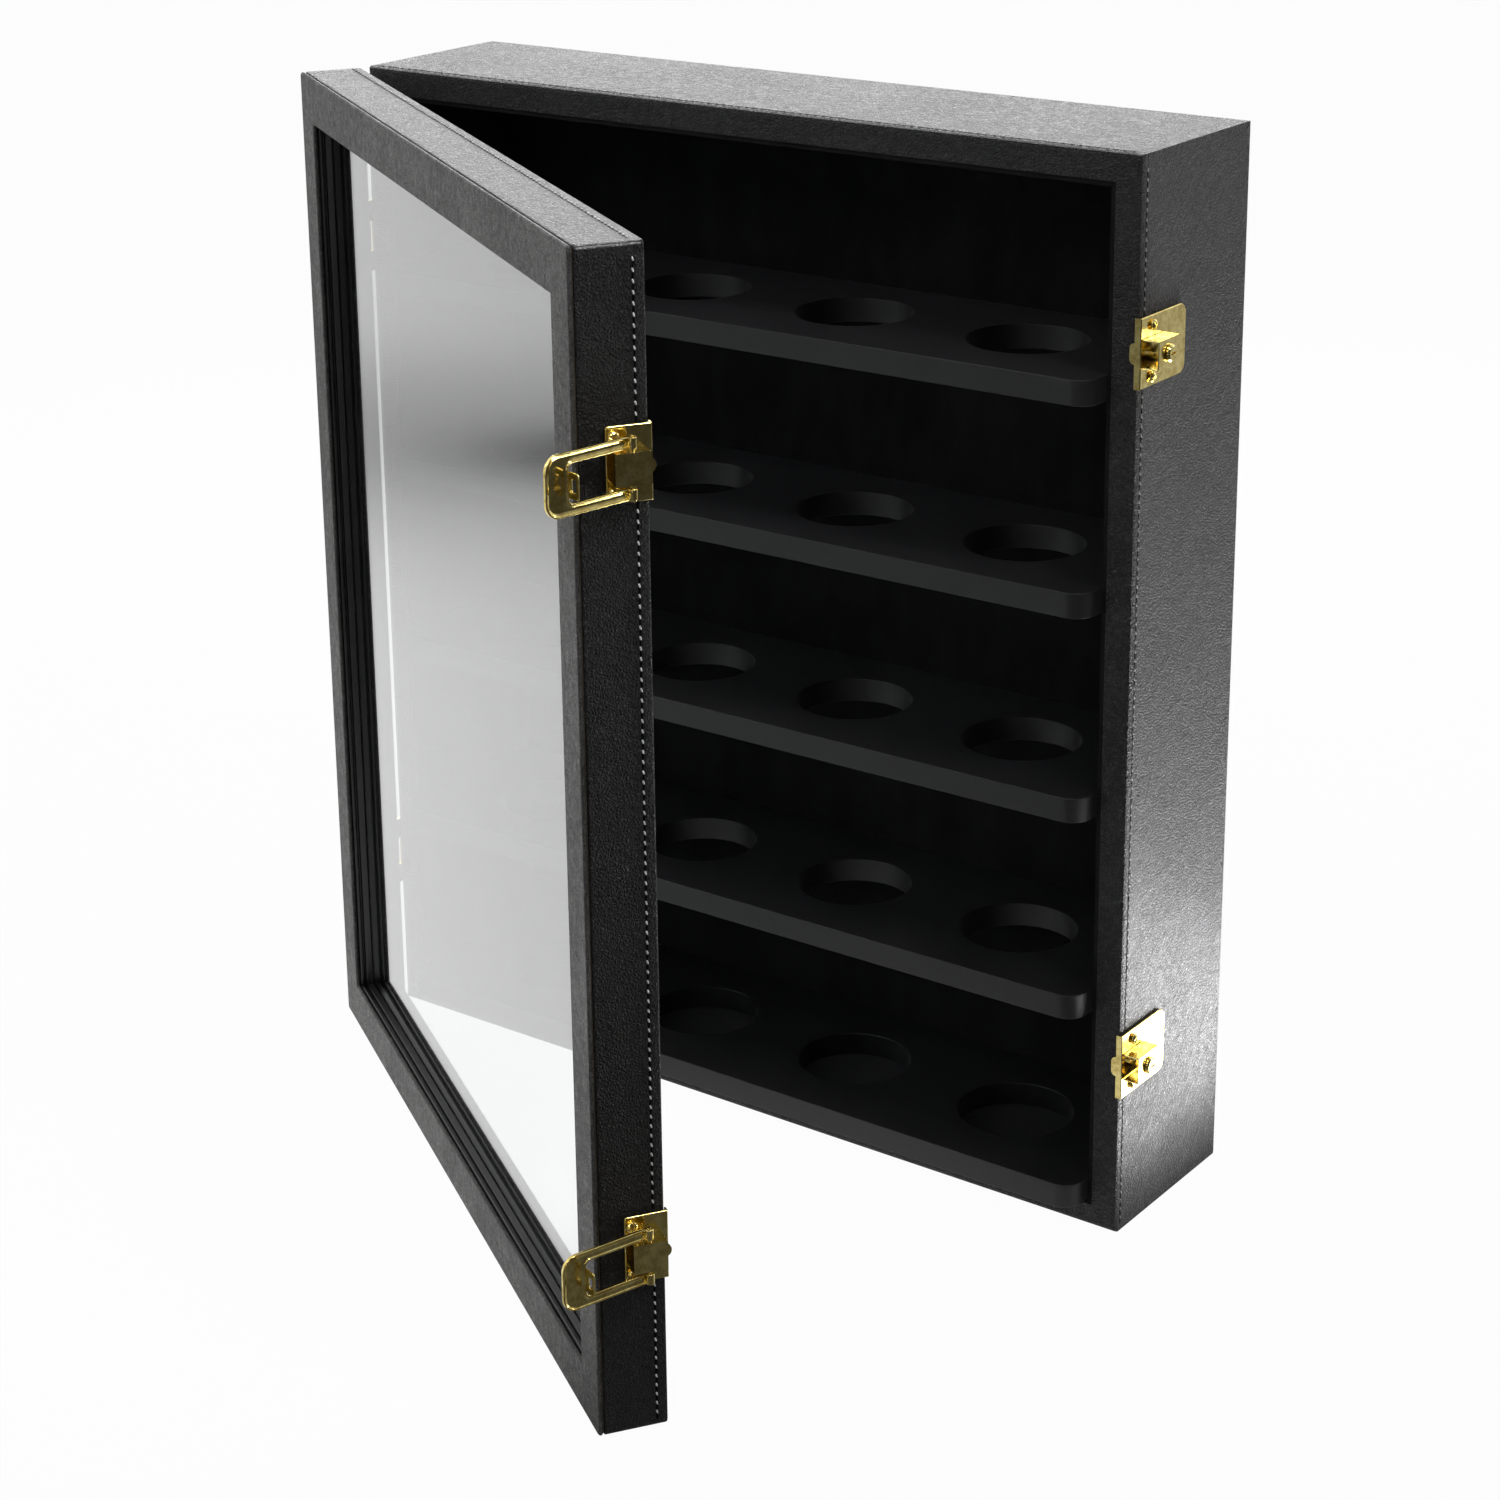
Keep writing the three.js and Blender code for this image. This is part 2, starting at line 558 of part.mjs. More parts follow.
  for (const [place, z] of [["top", keeperScrewUp], ["bottom", -keeperScrewUp]]) {
    piece(group, `${name}_keeper_screw_${place}`,
      woodScrew().translate(plateOut[1] + glueGap, keeperScrewIn, z), brass);
  }
}

// Door side of a hasp. Its group has x outwards from the door side, y = 0 at the door's rear face.
function buildHasp(group, name, swing) {
  const halfBox = boxHeight / 2;
  const halfPlate = haspPlateHeight / 2;
  const plateOut = [glueGap, glueGap + plateThick];
  const lipY = [glueGap, glueGap + keeperLipThick];
  const outline = roundRect([-haspPlateWidth, lipY[1]], [-halfPlate, halfPlate],
    [haspPlateCornerRadius, 0, 0, haspPlateCornerRadius]);
  const holes = [-haspScrewUp, haspScrewUp].map((z) =>
    rodX([-cutOverrun, boxOut], -haspScrewIn, z, screwShankRadius + screwHoleGap, smallSteps));
  const lip = block([-keeperLipDrop, glueGap + plateThick / 2], lipY, [-halfPlate, halfPlate]);
  piece(group, `${name}_hasp_plate`,
    carve(extrudeX(outline, plateOut, plateEdgeRound), holes, [lip]), brass);

  // Pivot box: folded sheet, open towards the front and the plate, with a round aligning tab
  const span = [-haspBoxStart - haspBoxLength, -haspBoxStart];
  const shell = extrudeX(roundRect(span, [-halfBox, halfBox], boxRound), [boxFloor, boxOut]);
  const hollow = block([boxFloor - cutOverrun, boxOut - sheetThick],
    [span[0] - cutOverrun, span[1] - sheetThick], [-halfBox + sheetThick, halfBox - sheetThick]);
  const pinHole = rodZ(loopPivotOut, -loopPivotIn,
    [-loopHalfHeight, loopHalfHeight], loopBoreRadius, smallSteps);
  const tabMiddle = (boxFloor + boxOut) / 2;
  const tab = extrudeX(tabOutline(span[1] - sheetThick / 2),
    [tabMiddle - haspTabThick / 2, tabMiddle + haspTabThick / 2]);
  piece(group, `${name}_hasp_box`, carve(shell, [hollow, pinHole], [tab]), brass);

  const pinEnd = loopHalfHeight + loopPinHead;
  piece(group, `${name}_loop_pin`,
    rodZ(loopPivotOut, -loopPivotIn, [-pinEnd, pinEnd], loopPinRadius, smallSteps), brass);

  for (const [place, z] of [["top", haspScrewUp], ["bottom", -haspScrewUp]]) {
    piece(group, `${name}_hasp_screw_${place}`,
      woodScrew().translate(plateOut[1] + glueGap, -haspScrewIn, z), brass);
  }

  const loop = new THREE.Group();
  loop.position.set(loopPivotOut, -loopPivotIn, 0);
  loop.rotation.z = THREE.MathUtils.degToRad(swing - 180);
  group.add(loop);
  piece(loop, `${name}_hasp_loop`, loopGeometry(), brass);
}

function tabOutline(start) {
  const shape = new THREE.Shape();
  shape.moveTo(start, -haspTabRadius);
  shape.absarc(start, 0, haspTabRadius, -Math.PI / 2, Math.PI / 2);
  return shape;
}

// Pressed loop, drawn as it lies when latched: y runs from the pivot to the finger end, x outwards.
// Two arms end in barrels on the pin, a rim is turned in round the edge, and a slotted tongue
// stands behind the lock box, where the finger of the catch goes through it.
function loopGeometry() {
  const sheet = [loopBarrelRadius - sheetThick, loopBarrelRadius];
  const tongueStart = loopPivotIn + seamGap + lockBoxStart + lockBoxLength + tongueGap;
  const outer = roundRect([0, loopLength], [-loopHalfHeight, loopHalfHeight],
    [0, loopCornerRadius, loopCornerRadius, 0]);
  const inner = roundRect([-cutOverrun, tongueStart], [-loopWindowHalf, loopWindowHalf],
    [0, loopWindowCorner, loopWindowCorner, 0]);
  const base = extrudeX(outer, sheet);
  const rimBlock = extrudeX(outer, [sheet[0] - loopRimDeep, sheet[1]]);
  const dish = roundRect([-cutOverrun, loopLength - loopRimWidth],
    [-loopHalfHeight + loopRimWidth, loopHalfHeight - loopRimWidth],
    [0, loopCornerRadius - loopRimWidth, loopCornerRadius - loopRimWidth, 0]);
  const innerWall = roundRect([-cutOverrun, tongueStart + loopRimWidth],
    [-loopWindowHalf - loopRimWidth, loopWindowHalf + loopRimWidth],
    [0, loopWindowCorner + loopRimWidth, loopWindowCorner + loopRimWidth, 0]);
  const deep = [sheet[0] - loopRimDeep - cutOverrun, sheet[0]];
  const rims = solid(rimBlock)
    .subtract(solid(extrudeX(dish, deep)).subtract(solid(extrudeX(innerWall, deep))));
  const barrels = [[-loopHalfHeight, -loopWindowHalf], [loopWindowHalf, loopHalfHeight]].map((span) =>
    solid(rodZ(0, 0, span, loopBarrelRadius)));
  const tongue = solid(block([sheet[0] - tongueLength, sheet[0] + sheetThick / 2],
    [tongueStart, tongueStart + sheetThick], [-tongueHalfWidth, tongueHalfWidth]));
  const slot = solid(block(
    [catchOut[0] - tongueSlotPlay - loopPivotOut, catchOut[1] + tongueSlotPlay - loopPivotOut],
    [tongueStart - cutOverrun, tongueStart + cutOverrun], [-tongueSlotHalf, tongueSlotHalf]));
  const window = solid(extrudeX(inner, [sheet[0] - loopRimDeep - cutOverrun, sheet[1] + cutOverrun]));
  const bore = solid(rodZ(0, 0, [-loopHalfHeight - cutOverrun, loopHalfHeight + cutOverrun],
    loopBoreRadius, smallSteps));
  const mesh = solid(base).add(rims).add(barrels[0]).add(barrels[1]).subtract(window)
    .add(tongue).subtract(slot).subtract(bore).getMesh();
  const geometry = new THREE.BufferGeometry();
  geometry.setAttribute("position", new THREE.BufferAttribute(mesh.vertProperties, 3));
  geometry.setIndex(new THREE.BufferAttribute(mesh.triVerts, 1));
  geometry.computeVertexNormals();
  return geometry;
}

// The whole object stands on z = 0 with the middle of the case's base at the origin
const displayCase = new THREE.Group();
displayCase.name = "baseball_display_case";
const caseGroup = new THREE.Group();
caseGroup.position.y = -caseDepth / 2;
displayCase.add(caseGroup);
buildCase(caseGroup);
buildShelves(caseGroup);

const door = new THREE.Group();
door.position.set(-halfWidth - hingeOut, doorRear, 0);
door.rotation.z = -THREE.MathUtils.degToRad(doorOpenDegrees);
caseGroup.add(door);
buildDoorFrame(door, caseWidth);
buildHinges(caseGroup, door);

Object.entries(latchHeights).forEach(([name, z], index) => {
  const keeper = new THREE.Group();
  keeper.position.set(halfWidth, 0, z);
  caseGroup.add(keeper);
  buildKeeper(keeper, name);
  const hasp = new THREE.Group();
  hasp.position.set(hingeOut + caseWidth, doorRear, z);
  door.add(hasp);
  buildHasp(hasp, name, loopSwingDegrees[index]);
});

export default displayCase;
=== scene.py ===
import json
import math

import bmesh
import bpy
import numpy as np
from mathutils import Matrix, Vector


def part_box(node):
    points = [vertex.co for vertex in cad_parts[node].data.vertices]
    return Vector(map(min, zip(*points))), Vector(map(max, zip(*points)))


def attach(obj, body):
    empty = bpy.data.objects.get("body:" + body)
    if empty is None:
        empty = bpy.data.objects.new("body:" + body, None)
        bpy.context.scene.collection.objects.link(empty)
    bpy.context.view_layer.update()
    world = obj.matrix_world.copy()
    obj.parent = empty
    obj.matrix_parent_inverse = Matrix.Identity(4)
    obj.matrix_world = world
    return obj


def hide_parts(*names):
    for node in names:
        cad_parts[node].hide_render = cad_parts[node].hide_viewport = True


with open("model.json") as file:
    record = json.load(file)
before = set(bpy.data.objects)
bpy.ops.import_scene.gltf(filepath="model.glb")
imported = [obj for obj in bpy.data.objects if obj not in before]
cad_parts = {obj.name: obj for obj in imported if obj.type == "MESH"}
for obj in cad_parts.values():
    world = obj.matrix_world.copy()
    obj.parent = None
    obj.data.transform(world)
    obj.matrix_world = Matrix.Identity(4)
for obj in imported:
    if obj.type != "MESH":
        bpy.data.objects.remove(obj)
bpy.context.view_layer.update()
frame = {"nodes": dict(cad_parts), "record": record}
nodes = frame["nodes"]
print("frame loaded:", len(nodes), "nodes")

mm = 0.001

# The door stands open: where its pin is, and how far it is turned, for patterns that follow the door
doorPose = {"pin": (-0.2333, -0.0523), "angle": math.radians(33.4)}
doorCos, doorSin = math.cos(doorPose["angle"]), math.sin(doorPose["angle"])


# world = pin + x along the door + y through it, each turned by the angle of the door about Z
def fromDoor(points):
    x, y, z = np.asarray(points, float).T
    px, py = doorPose["pin"]
    return np.stack([px + x * doorCos + y * doorSin, py - x * doorSin + y * doorCos, z], axis=1)


# the same turn the other way: door coordinates of points in the frame
def toDoor(points):
    x, y, z = np.asarray(points, float).T
    px, py = doorPose["pin"]
    x, y = x - px, y - py
    return np.stack([x * doorCos - y * doorSin, x * doorSin + y * doorCos, z], axis=1)


# A socket of a shader, so that sums on values can be written as sums
class Value:
    def __init__(self, finish, socket):
        self.finish, self.socket = finish, socket

    def math(self, operation, *others):
        inputs = {0: self}
        inputs.update({n + 1: other for n, other in enumerate(others)})
        return self.finish.node("Math", {"operation": operation}, inputs)

    def swapped(self, operation, other):
        return self.finish.node("Math", {"operation": operation}, {0: other, 1: self})

    def __add__(self, other): return self.math("ADD", other)
    def __radd__(self, other): return self.swapped("ADD", other)
    def __sub__(self, other): return self.math("SUBTRACT", other)
    def __rsub__(self, other): return self.swapped("SUBTRACT", other)
    def __mul__(self, other): return self.math("MULTIPLY", other)
    def __rmul__(self, other): return self.swapped("MULTIPLY", other)
    def __truediv__(self, other): return self.math("DIVIDE", other)
    def least(self, other): return self.math("MINIMUM", other)
    def wave(self): return self.math("SINE")

    # a bell of height 1 round zero: e to the power of minus the square
    def bell(self, width):
        scaled = self / width
        return (scaled * scaled * -1).math("EXPONENT")

    # 0 below low, 1 above high, and a soft S between them
    def ramp(self, low, high):
        settings = {"interpolation_type": "SMOOTHSTEP"}
        return self.finish.node("MapRange", settings, {0: self, 1: low, 2: high, 3: 0, 4: 1})

    # 0 where a noise crosses its middle, up to 1 at so far from it: the line of a fold
    def fold(self, width):
        return (self - 0.5).math("ABSOLUTE").ramp(0, width)

    # runs from low to 1 where the value runs from 0 to 1
    def lifted(self, low):
        return low + self * (1 - low)

    def part(self, n):
        return self.finish.node("SeparateXYZ", {}, {0: self}, n)


# One material, which grows by the nodes that are asked of it
class Finish:
    def __init__(self, name, tree=None):
        if tree is None:
            self.material = bpy.data.materials.new(name)
            self.material.use_nodes = True
            tree = self.material.node_tree
        self.tree = tree
        self.tree.nodes.clear()

    # kind of node, its settings, the values or links of its sockets, and which output is wanted
    def node(self, kind, settings=None, inputs=None, want=0):
        made = self.tree.nodes.new("ShaderNode" + kind)
        for key, value in (settings or {}).items():
            setattr(made, key, value)
        for key, value in (inputs or {}).items():
            if isinstance(value, Value):
                self.tree.links.new(value.socket, made.inputs[key])
            else:
                made.inputs[key].default_value = value
        return Value(self, made.outputs[want]) if len(made.outputs) else None

    # coordinates of the object, in metres, turned into the door's own where the piece is on the door
    def place(self, onDoor=False):
        spot = self.node("TexCoord", {}, {}, "Object")
        if not onDoor:
            return spot
        px, py = doorPose["pin"]
        shift = (-(px * doorCos - py * doorSin), -(px * doorSin + py * doorCos), 0)
        return self.node("Mapping", {}, {"Vector": spot, "Rotation": (0, 0, doorPose["angle"]),
                                         "Location": shift})

    def stretched(self, spot, scale):
        return self.node("Mapping", {}, {"Vector": spot, "Scale": scale})

    def noise(self, spot, scale, detail=3, rough=0.5, want=0):
        return self.node("TexNoise", {}, {"Vector": spot, "Scale": scale, "Detail": detail,
                                          "Roughness": rough}, want)

    # distance to the nearest edge of a cell
    def cells(self, spot, scale):
        return self.node("TexVoronoi", {"feature": "DISTANCE_TO_EDGE"}, {"Vector": spot, "Scale": scale})

    # pushes the coordinates about by a noise, by so many metres
    def pushed(self, spot, scale, reach):
        cloud = self.noise(spot, scale, 2, 0.5, 1)
        centred = self.node("VectorMath", {"operation": "SUBTRACT"}, {0: cloud, 1: (0.5, 0.5, 0.5)})
        small = self.node("VectorMath", {"operation": "SCALE"}, {0: centred, "Scale": reach})
        return self.node("VectorMath", {"operation": "ADD"}, {0: spot, 1: small})

    # from the dark colour of a look to its light one
    def shade(self, values, mask):
        inputs = {0: mask, 6: (*values["dark"], 1), 7: (*values["light"], 1)}
        return self.node("Mix", {"data_type": "RGBA"}, inputs, 2)

    def bump(self, height, depth, strength=1, below=None):
        inputs = {"Height": height, "Distance": depth, "Strength": strength}
        if below is not None:
            inputs["Normal"] = below
        return self.node("Bump", {}, inputs)

    def ray(self, kind):
        return self.node("LightPath", {}, {}, f"Is {kind} Ray")

    # a Principled shader by its own sockets, on the surface
    def surface(self, **sockets):
        named = {key.replace("_", " "): value for key, value in sockets.items()}
        for key, value in named.items():
            if isinstance(value, tuple) and len(value) == 3:
                named[key] = (*value, 1)
        shader = self.node("BsdfPrincipled", {}, named)
        self.node("OutputMaterial", {}, {"Surface": shader})
        return self.material


# Leatherette: pebbles under two millimetres wide with sunk lines between them, slow creases, wrinkles along
# the slant of the hide, and a seam that dips where the stitches run; shade is painted darker into the sunk
# lines, the wrinkles' folds and the seam. Its gloss varies with the grain.
def leatherette(name, values, onDoor=False):
    f = Finish(name)
    spot = f.place(onDoor)
    wavy = f.pushed(spot, *values["wander"])
    pebble = (f.cells(wavy, values["grain"]) * values["pebbleEdge"]).least(1)
    fine = f.noise(spot, values["fine"], 2)
    patch = f.noise(spot, values["patch"], 4, 0.6)
    mottle = f.noise(spot, values["mottle"], 3, 0.7)
    fleck = f.noise(spot, values["fleck"], 3, 0.7)
    crease = f.noise(f.stretched(wavy, values["creaseScale"]), 1, 4, 0.65)
    turned = f.node("Mapping", {}, {"Vector": f.pushed(spot, *values["drift"]),
                                    "Rotation": values["wrinkleTurn"]})
    wrinkle = f.noise(f.stretched(turned, values["wrinkleScale"]), 1, 3, 0.6).fold(values["wrinkleWidth"])
    seam = (spot.part(1) - values["seam"]).bell(values["seamWidth"]) * -1
    normal = f.bump(seam, values["seamDepth"], 0.9)
    normal = f.bump(wrinkle, values["wrinkleDepth"], 0.7, normal)
    normal = f.bump(crease, values["creaseDepth"], 0.6, normal)
    normal = f.bump(pebble + fine * 0.35, values["grainDepth"], 0.9, normal)
    cloud = patch * 0.25 + mottle * 0.3 + fleck * 0.45
    # colour: random clouds, darkened by painted shade in the sunk lines, the wrinkles' folds and the seam
    tone = cloud.ramp(0.4, 0.6) * pebble.lifted(0.3) * wrinkle.lifted(0.55) * (1 + seam * 0.9)
    rough = values["rough"] + (patch - 0.5) * 0.14 + (1 - pebble) * 0.2 + (fleck - 0.5) * values["uneven"]
    shine = (0.1 + wrinkle * 0.4 + cloud.ramp(0.42, 0.6) * 0.5) * pebble.lifted(0.4) * (1 + seam)
    return f.surface(Base_Color=f.shade(values, tone), Roughness=rough, Normal=normal,
                     Specular_IOR_Level=values["gloss"], Coat_Weight=shine * values["shine"],
                     Coat_Roughness=values["shineRough"])


# Scales are to the metre, depths and widths in metres, turns about X in the side's own plane
caseLook = {
    "dark": (0.002, 0.002, 0.0024), "light": (0.05, 0.049, 0.053), "rough": 0.4, "uneven": 0.5,
    "gloss": 0.38, "shine": 0.55, "shineRough": 0.3,
    "grain": 620, "pebbleEdge": 3.2, "grainDepth": 0.0008, "wander": (900, 0.0012),
    "fine": 3600, "fleck": 700, "mottle": 260, "patch": 17,
    "seam": -0.0467, "seamWidth": 0.0011, "seamDepth": 0.0006,
    "creaseScale": (90, 90, 60), "creaseDepth": 0.002, "drift": (26, 0.02),
    "wrinkleTurn": (math.radians(-42), 0, 0), "wrinkleScale": (120, 55, 300), "wrinkleWidth": 0.3,
    "wrinkleDepth": 0.0016,
}
# the door wears the case's leatherette, with colours painted darker as shade
doorShadedLook = {
    **caseLook, "dark": (0.0012, 0.0012, 0.0014), "light": (0.017, 0.0168, 0.0178), "rough": 0.3,
    "uneven": 0.3, "gloss": 0.3, "shine": 0.3, "seam": -0.0064,
    "creaseScale": (130, 130, 90), "creaseDepth": 0.0014,
    "wrinkleTurn": (math.radians(25), 0, 0), "wrinkleScale": (110, 60, 260), "wrinkleDepth": 0.001,
}
# no stitches run on the facing or on the rolled corner, so their seam lies far off
# the facing's mottle is the hide's own; its colours, far lighter than the door's hide, are painted sheen
facingSheenLook = {
    **caseLook, "dark": (0.015, 0.0145, 0.013), "light": (0.17, 0.162, 0.15),
    "gloss": 0.4, "shine": 1.0, "seam": 1.0, "grain": 900, "creaseScale": (240, 240, 200),
    "wrinkleTurn": (0, 0, 0), "wrinkleScale": (200, 90, 70), "wrinkleDepth": 0.0003,
}
# the rolls wear the door's hide, painted light grey as a highlight
rolledHighlightLook = {
    **doorShadedLook, "dark": (0.06, 0.06, 0.06), "light": (0.2, 0.198, 0.196), "rough": 0.06, "uneven": 0.1,
    "gloss": 1.0, "seam": 1.0, "grainDepth": 0.0002, "creaseDepth": 0.0005, "wrinkleDepth": 0.0002,
}


# Velvet: a short dark pile, a sheen at a glance, and the brushing that a cloth shows
def velvet(name, values):
    f = Finish(name)
    spot = f.place()
    pile = f.noise(spot, values["pile"], 3, 0.7)
    brushed = f.noise(f.stretched(spot, values["brushing"]), 1, 4, 0.6)
    normal = f.bump(pile, values["depth"], 0.7)
    shade = f.shade(values, (pile * 0.5 + brushed * 0.5).ramp(0.35, 0.7))
    return f.surface(Base_Color=shade, Roughness=0.95, Normal=normal, Specular_IOR_Level=0.12,
                     Sheen_Weight=values["sheen"], Sheen_Roughness=0.45, Sheen_Tint=(0.55, 0.55, 0.6))


velvetLook = {"dark": (0.0055, 0.0055, 0.006), "light": (0.013, 0.013, 0.014), "sheen": 0.16,
              "pile": 2600, "brushing": (60, 60, 22), "depth": 0.0005}


# Covered shelf board: a soft matt black with a fine tooth and slow clouds
def shelfFinish(name, values):
    f = Finish(name)
    spot = f.place()
    tooth = f.noise(spot, values["tooth"], 3, 0.6)
    cloud = f.noise(spot, values["cloud"], 4, 0.6)
    normal = f.bump(tooth, values["depth"], 0.5)
    shade = f.shade(values, (tooth * 0.4 + cloud * 0.6).ramp(0.35, 0.68))
    return f.surface(Base_Color=shade, Roughness=values["rough"] + cloud * 0.2, Normal=normal,
                     Specular_IOR_Level=0.45, Sheen_Weight=0.08, Sheen_Roughness=0.5,
                     Sheen_Tint=(0.6, 0.6, 0.65))


shelfLook = {"dark": (0.0022, 0.0022, 0.0025), "light": (0.009, 0.009, 0.01), "rough": 0.36,
             "tooth": 2200, "cloud": 30, "depth": 0.0003}


# Painted moulding: smooth black with faint brush lines along it
def mouldingFinish(name, values):
    f = Finish(name)
    spot = f.place(True)
    streak = f.noise(f.stretched(spot, values["streak"]), 1, 2, 0.5)
    cloud = f.noise(spot, values["cloud"], 3, 0.6)
    normal = f.bump(streak, values["depth"], 0.4)
    return f.surface(Base_Color=f.shade(values, cloud.ramp(0.35, 0.7)),
                     Roughness=values["rough"] + cloud * 0.15, Normal=normal)


mouldingLook = {"dark": (0.008, 0.008, 0.009), "light": (0.016, 0.016, 0.017), "rough": 0.3,
                "streak": (900, 900, 40), "cloud": 40, "depth": 0.00012}


# Board: rings of a softwood as a wave along Y that a noise bends, with pores
def boardFinish(name, values):
    f = Finish(name)
    spot = f.pushed(f.place(), *values["bend"])
    ring = spot.part(1) * values["rings"] + f.noise(f.stretched(spot, values["figure"]), 1, 4) * 9
    band = ring.wave() * 0.5 + 0.5
    pore = f.noise(f.stretched(spot, values["pores"]), 1, 2, 0.6)
    normal = f.bump(pore, values["depth"], 0.5)
    return f.surface(Base_Color=f.shade(values, band * 0.6 + pore * 0.4),
                     Roughness=values["rough"] + band * 0.15, Normal=normal)


boardLook = {"dark": (0.26, 0.16, 0.085), "light": (0.5, 0.36, 0.22), "rough": 0.6, "bend": (9, 0.012),
             "rings": 900, "figure": (30, 30, 3), "pores": (1800, 1800, 60), "depth": 0.0003}


# Polished metal: hair scratches, small dull clouds and a slow change of tone
def metalFinish(name, values, onDoor=False):
    f = Finish(name)
    spot = f.place(onDoor)
    hair = f.noise(f.stretched(spot, values["hair"]), 1, 2, 0.6)
    cloud = f.noise(spot, values["cloud"], 5, 0.75)
    patch = f.noise(spot, values["patch"], 3, 0.6)
    normal = f.bump(hair * 0.4 + patch * 0.6, values["depth"], 0.35)
    rough = values["rough"] + (0.5 - cloud) * 0.2 + hair * 0.05
    return f.surface(Base_Color=f.shade(values, cloud.ramp(0.36, 0.62)), Metallic=1.0, Roughness=rough,
                     Normal=normal)


brassLook = {"dark": (0.66, 0.5, 0.16), "light": (0.96, 0.81, 0.33), "rough": 0.13, "depth": 0.00006,
             "hair": (5200, 5200, 260), "cloud": 160, "patch": 420}
steelLook = {**brassLook, "dark": (0.5, 0.5, 0.49), "light": (0.68, 0.68, 0.66), "rough": 0.3,
             "depth": 0.0001}


# Window glass: clear, with a breath of dust in its roughness
def glassFinish(name, values):
    f = Finish(name)
    dust = f.noise(f.place(True), values["dust"], 4, 0.6)
    rough = dust.ramp(0.5, 0.9) * values["dustRough"]
    return f.surface(Base_Color=values["tint"], Roughness=rough, IOR=values["bend"],
                     Transmission_Weight=1.0, Coat_Weight=values["coat"], Coat_Roughness=0.0)


glassLook = {"tint": (0.93, 0.96, 0.95), "bend": 1.5, "coat": 1.0, "dust": 22, "dustRough": 0.02}


# Thread: twisted strands along the stitch
def threadFinish(name, values, onDoor=False):
    f = Finish(name)
    strand = f.noise(f.stretched(f.place(onDoor), values["strand"]), 1, 2, 0.6)
    normal = f.bump(strand, values["depth"], 0.6)
    return f.surface(Base_Color=f.shade(values, strand), Roughness=values["rough"] + strand * 0.15,
                     Normal=normal, Specular_IOR_Level=values["gloss"])


# the thread is dark: its greys paint the glints it takes, lighter on the door than on the case, as painted
# highlight; needle holes are nearly black
doorThreadGlintLook = {"dark": (0.5, 0.5, 0.51), "light": (0.85, 0.85, 0.86), "rough": 0.3, "gloss": 0.5,
                  "strand": (4000, 4000, 2500), "depth": 0.0002}
caseThreadGlintLook = {**doorThreadGlintLook, "dark": (0.14, 0.14, 0.145), "light": (0.36, 0.36, 0.365)}
# the needle holes' near black is painted shade in the holes
needleHoleShadeLook = {**doorThreadGlintLook, "dark": (0.0008, 0.0008, 0.0009), "light": (0.003, 0.003, 0.003),
            "rough": 0.85, "gloss": 0.05}

finishes = {
    "case": leatherette("caseLeatherette", caseLook),
    "door": leatherette("doorLeatheretteWithPaintedShade", doorShadedLook, True),
    "facing": leatherette("facingLeatheretteWithPaintedSheen", facingSheenLook, True),
    "roll": leatherette("rolledLeatheretteWithPaintedHighlight", rolledHighlightLook, True),
    "velvet": velvet("blackVelvet", velvetLook),
    "shelf": shelfFinish("shelfCovering", shelfLook),
    "moulding": mouldingFinish("blackMoulding", mouldingLook),
    "board": boardFinish("softwoodBoard", boardLook),
    "brass": metalFinish("polishedBrass", brassLook),
    "doorBrass": metalFinish("polishedDoorBrass", brassLook, True),
    "steel": metalFinish("brushedSteel", steelLook),
    "glass": glassFinish("clearGlass", glassLook),
    "thread": threadFinish("threadWithPaintedGlints", caseThreadGlintLook),
    "doorThread": threadFinish("doorThreadWithPaintedGlints", doorThreadGlintLook, True),
    "needleHoleShade": threadFinish("paintedNeedleHoleShade", needleHoleShadeLook),
    "doorNeedleHoleShade": threadFinish("paintedDoorNeedleHoleShade", needleHoleShadeLook, True),
}
print("finishes made:", len(finishes))


bodyOf = {node: body for body, group in frame["record"]["behaviour"]["bodies"].items() for node in group}
slotOf = {row["node"]: row["material_slot"] for row in frame["record"]["subparts"]}


# gives a piece its finish, the body that it rides on and its material slot
def dress(piece, finish, body):
    piece.data.materials.clear()
    piece.data.materials.append(finishes[finish])
    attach(piece, body)
    return piece


# points and faces become a mesh object, smooth where asked
def meshPiece(name, points, faces, smooth=True):
    mesh = bpy.data.meshes.new(name)
    mesh.from_pydata(np.asarray(points).tolist(), [], faces)
    mesh.update()
    if smooth:
        mesh.shade_smooth()
    piece = bpy.data.objects.new(name, mesh)
    bpy.context.scene.collection.objects.link(piece)
    return piece


def evenNormals(piece):
    even = piece.modifiers.new("evenNormals", "WEIGHTED_NORMAL")
    even.keep_sharp = True


rounding = {"merge": 0.004 * mm, "flat": math.radians(0.6), "edge": math.radians(32), "segments": 2}


# The node's own solid with its corner points merged, its flat faces joined, and its edges rounded
def softened(node, finish, width):
    mesh = nodes[node].data.copy()
    work = bmesh.new()
    work.from_mesh(mesh)
    bmesh.ops.remove_doubles(work, verts=work.verts, dist=rounding["merge"])
    bmesh.ops.dissolve_limit(work, angle_limit=rounding["flat"], verts=work.verts, edges=work.edges)
    work.to_mesh(mesh)
    work.free()
    mesh.shade_smooth()
    piece = bpy.data.objects.new("soft_" + node, mesh)
    bpy.context.scene.collection.objects.link(piece)
    edge = piece.modifiers.new("rounding", "BEVEL")
    edge.width, edge.segments = width, rounding["segments"]
    edge.limit_method, edge.angle_limit = "ANGLE", rounding["edge"]
    edge.use_clamp_overlap = True
    evenNormals(piece)
    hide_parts(node)
    return dress(piece, finish, bodyOf[node])


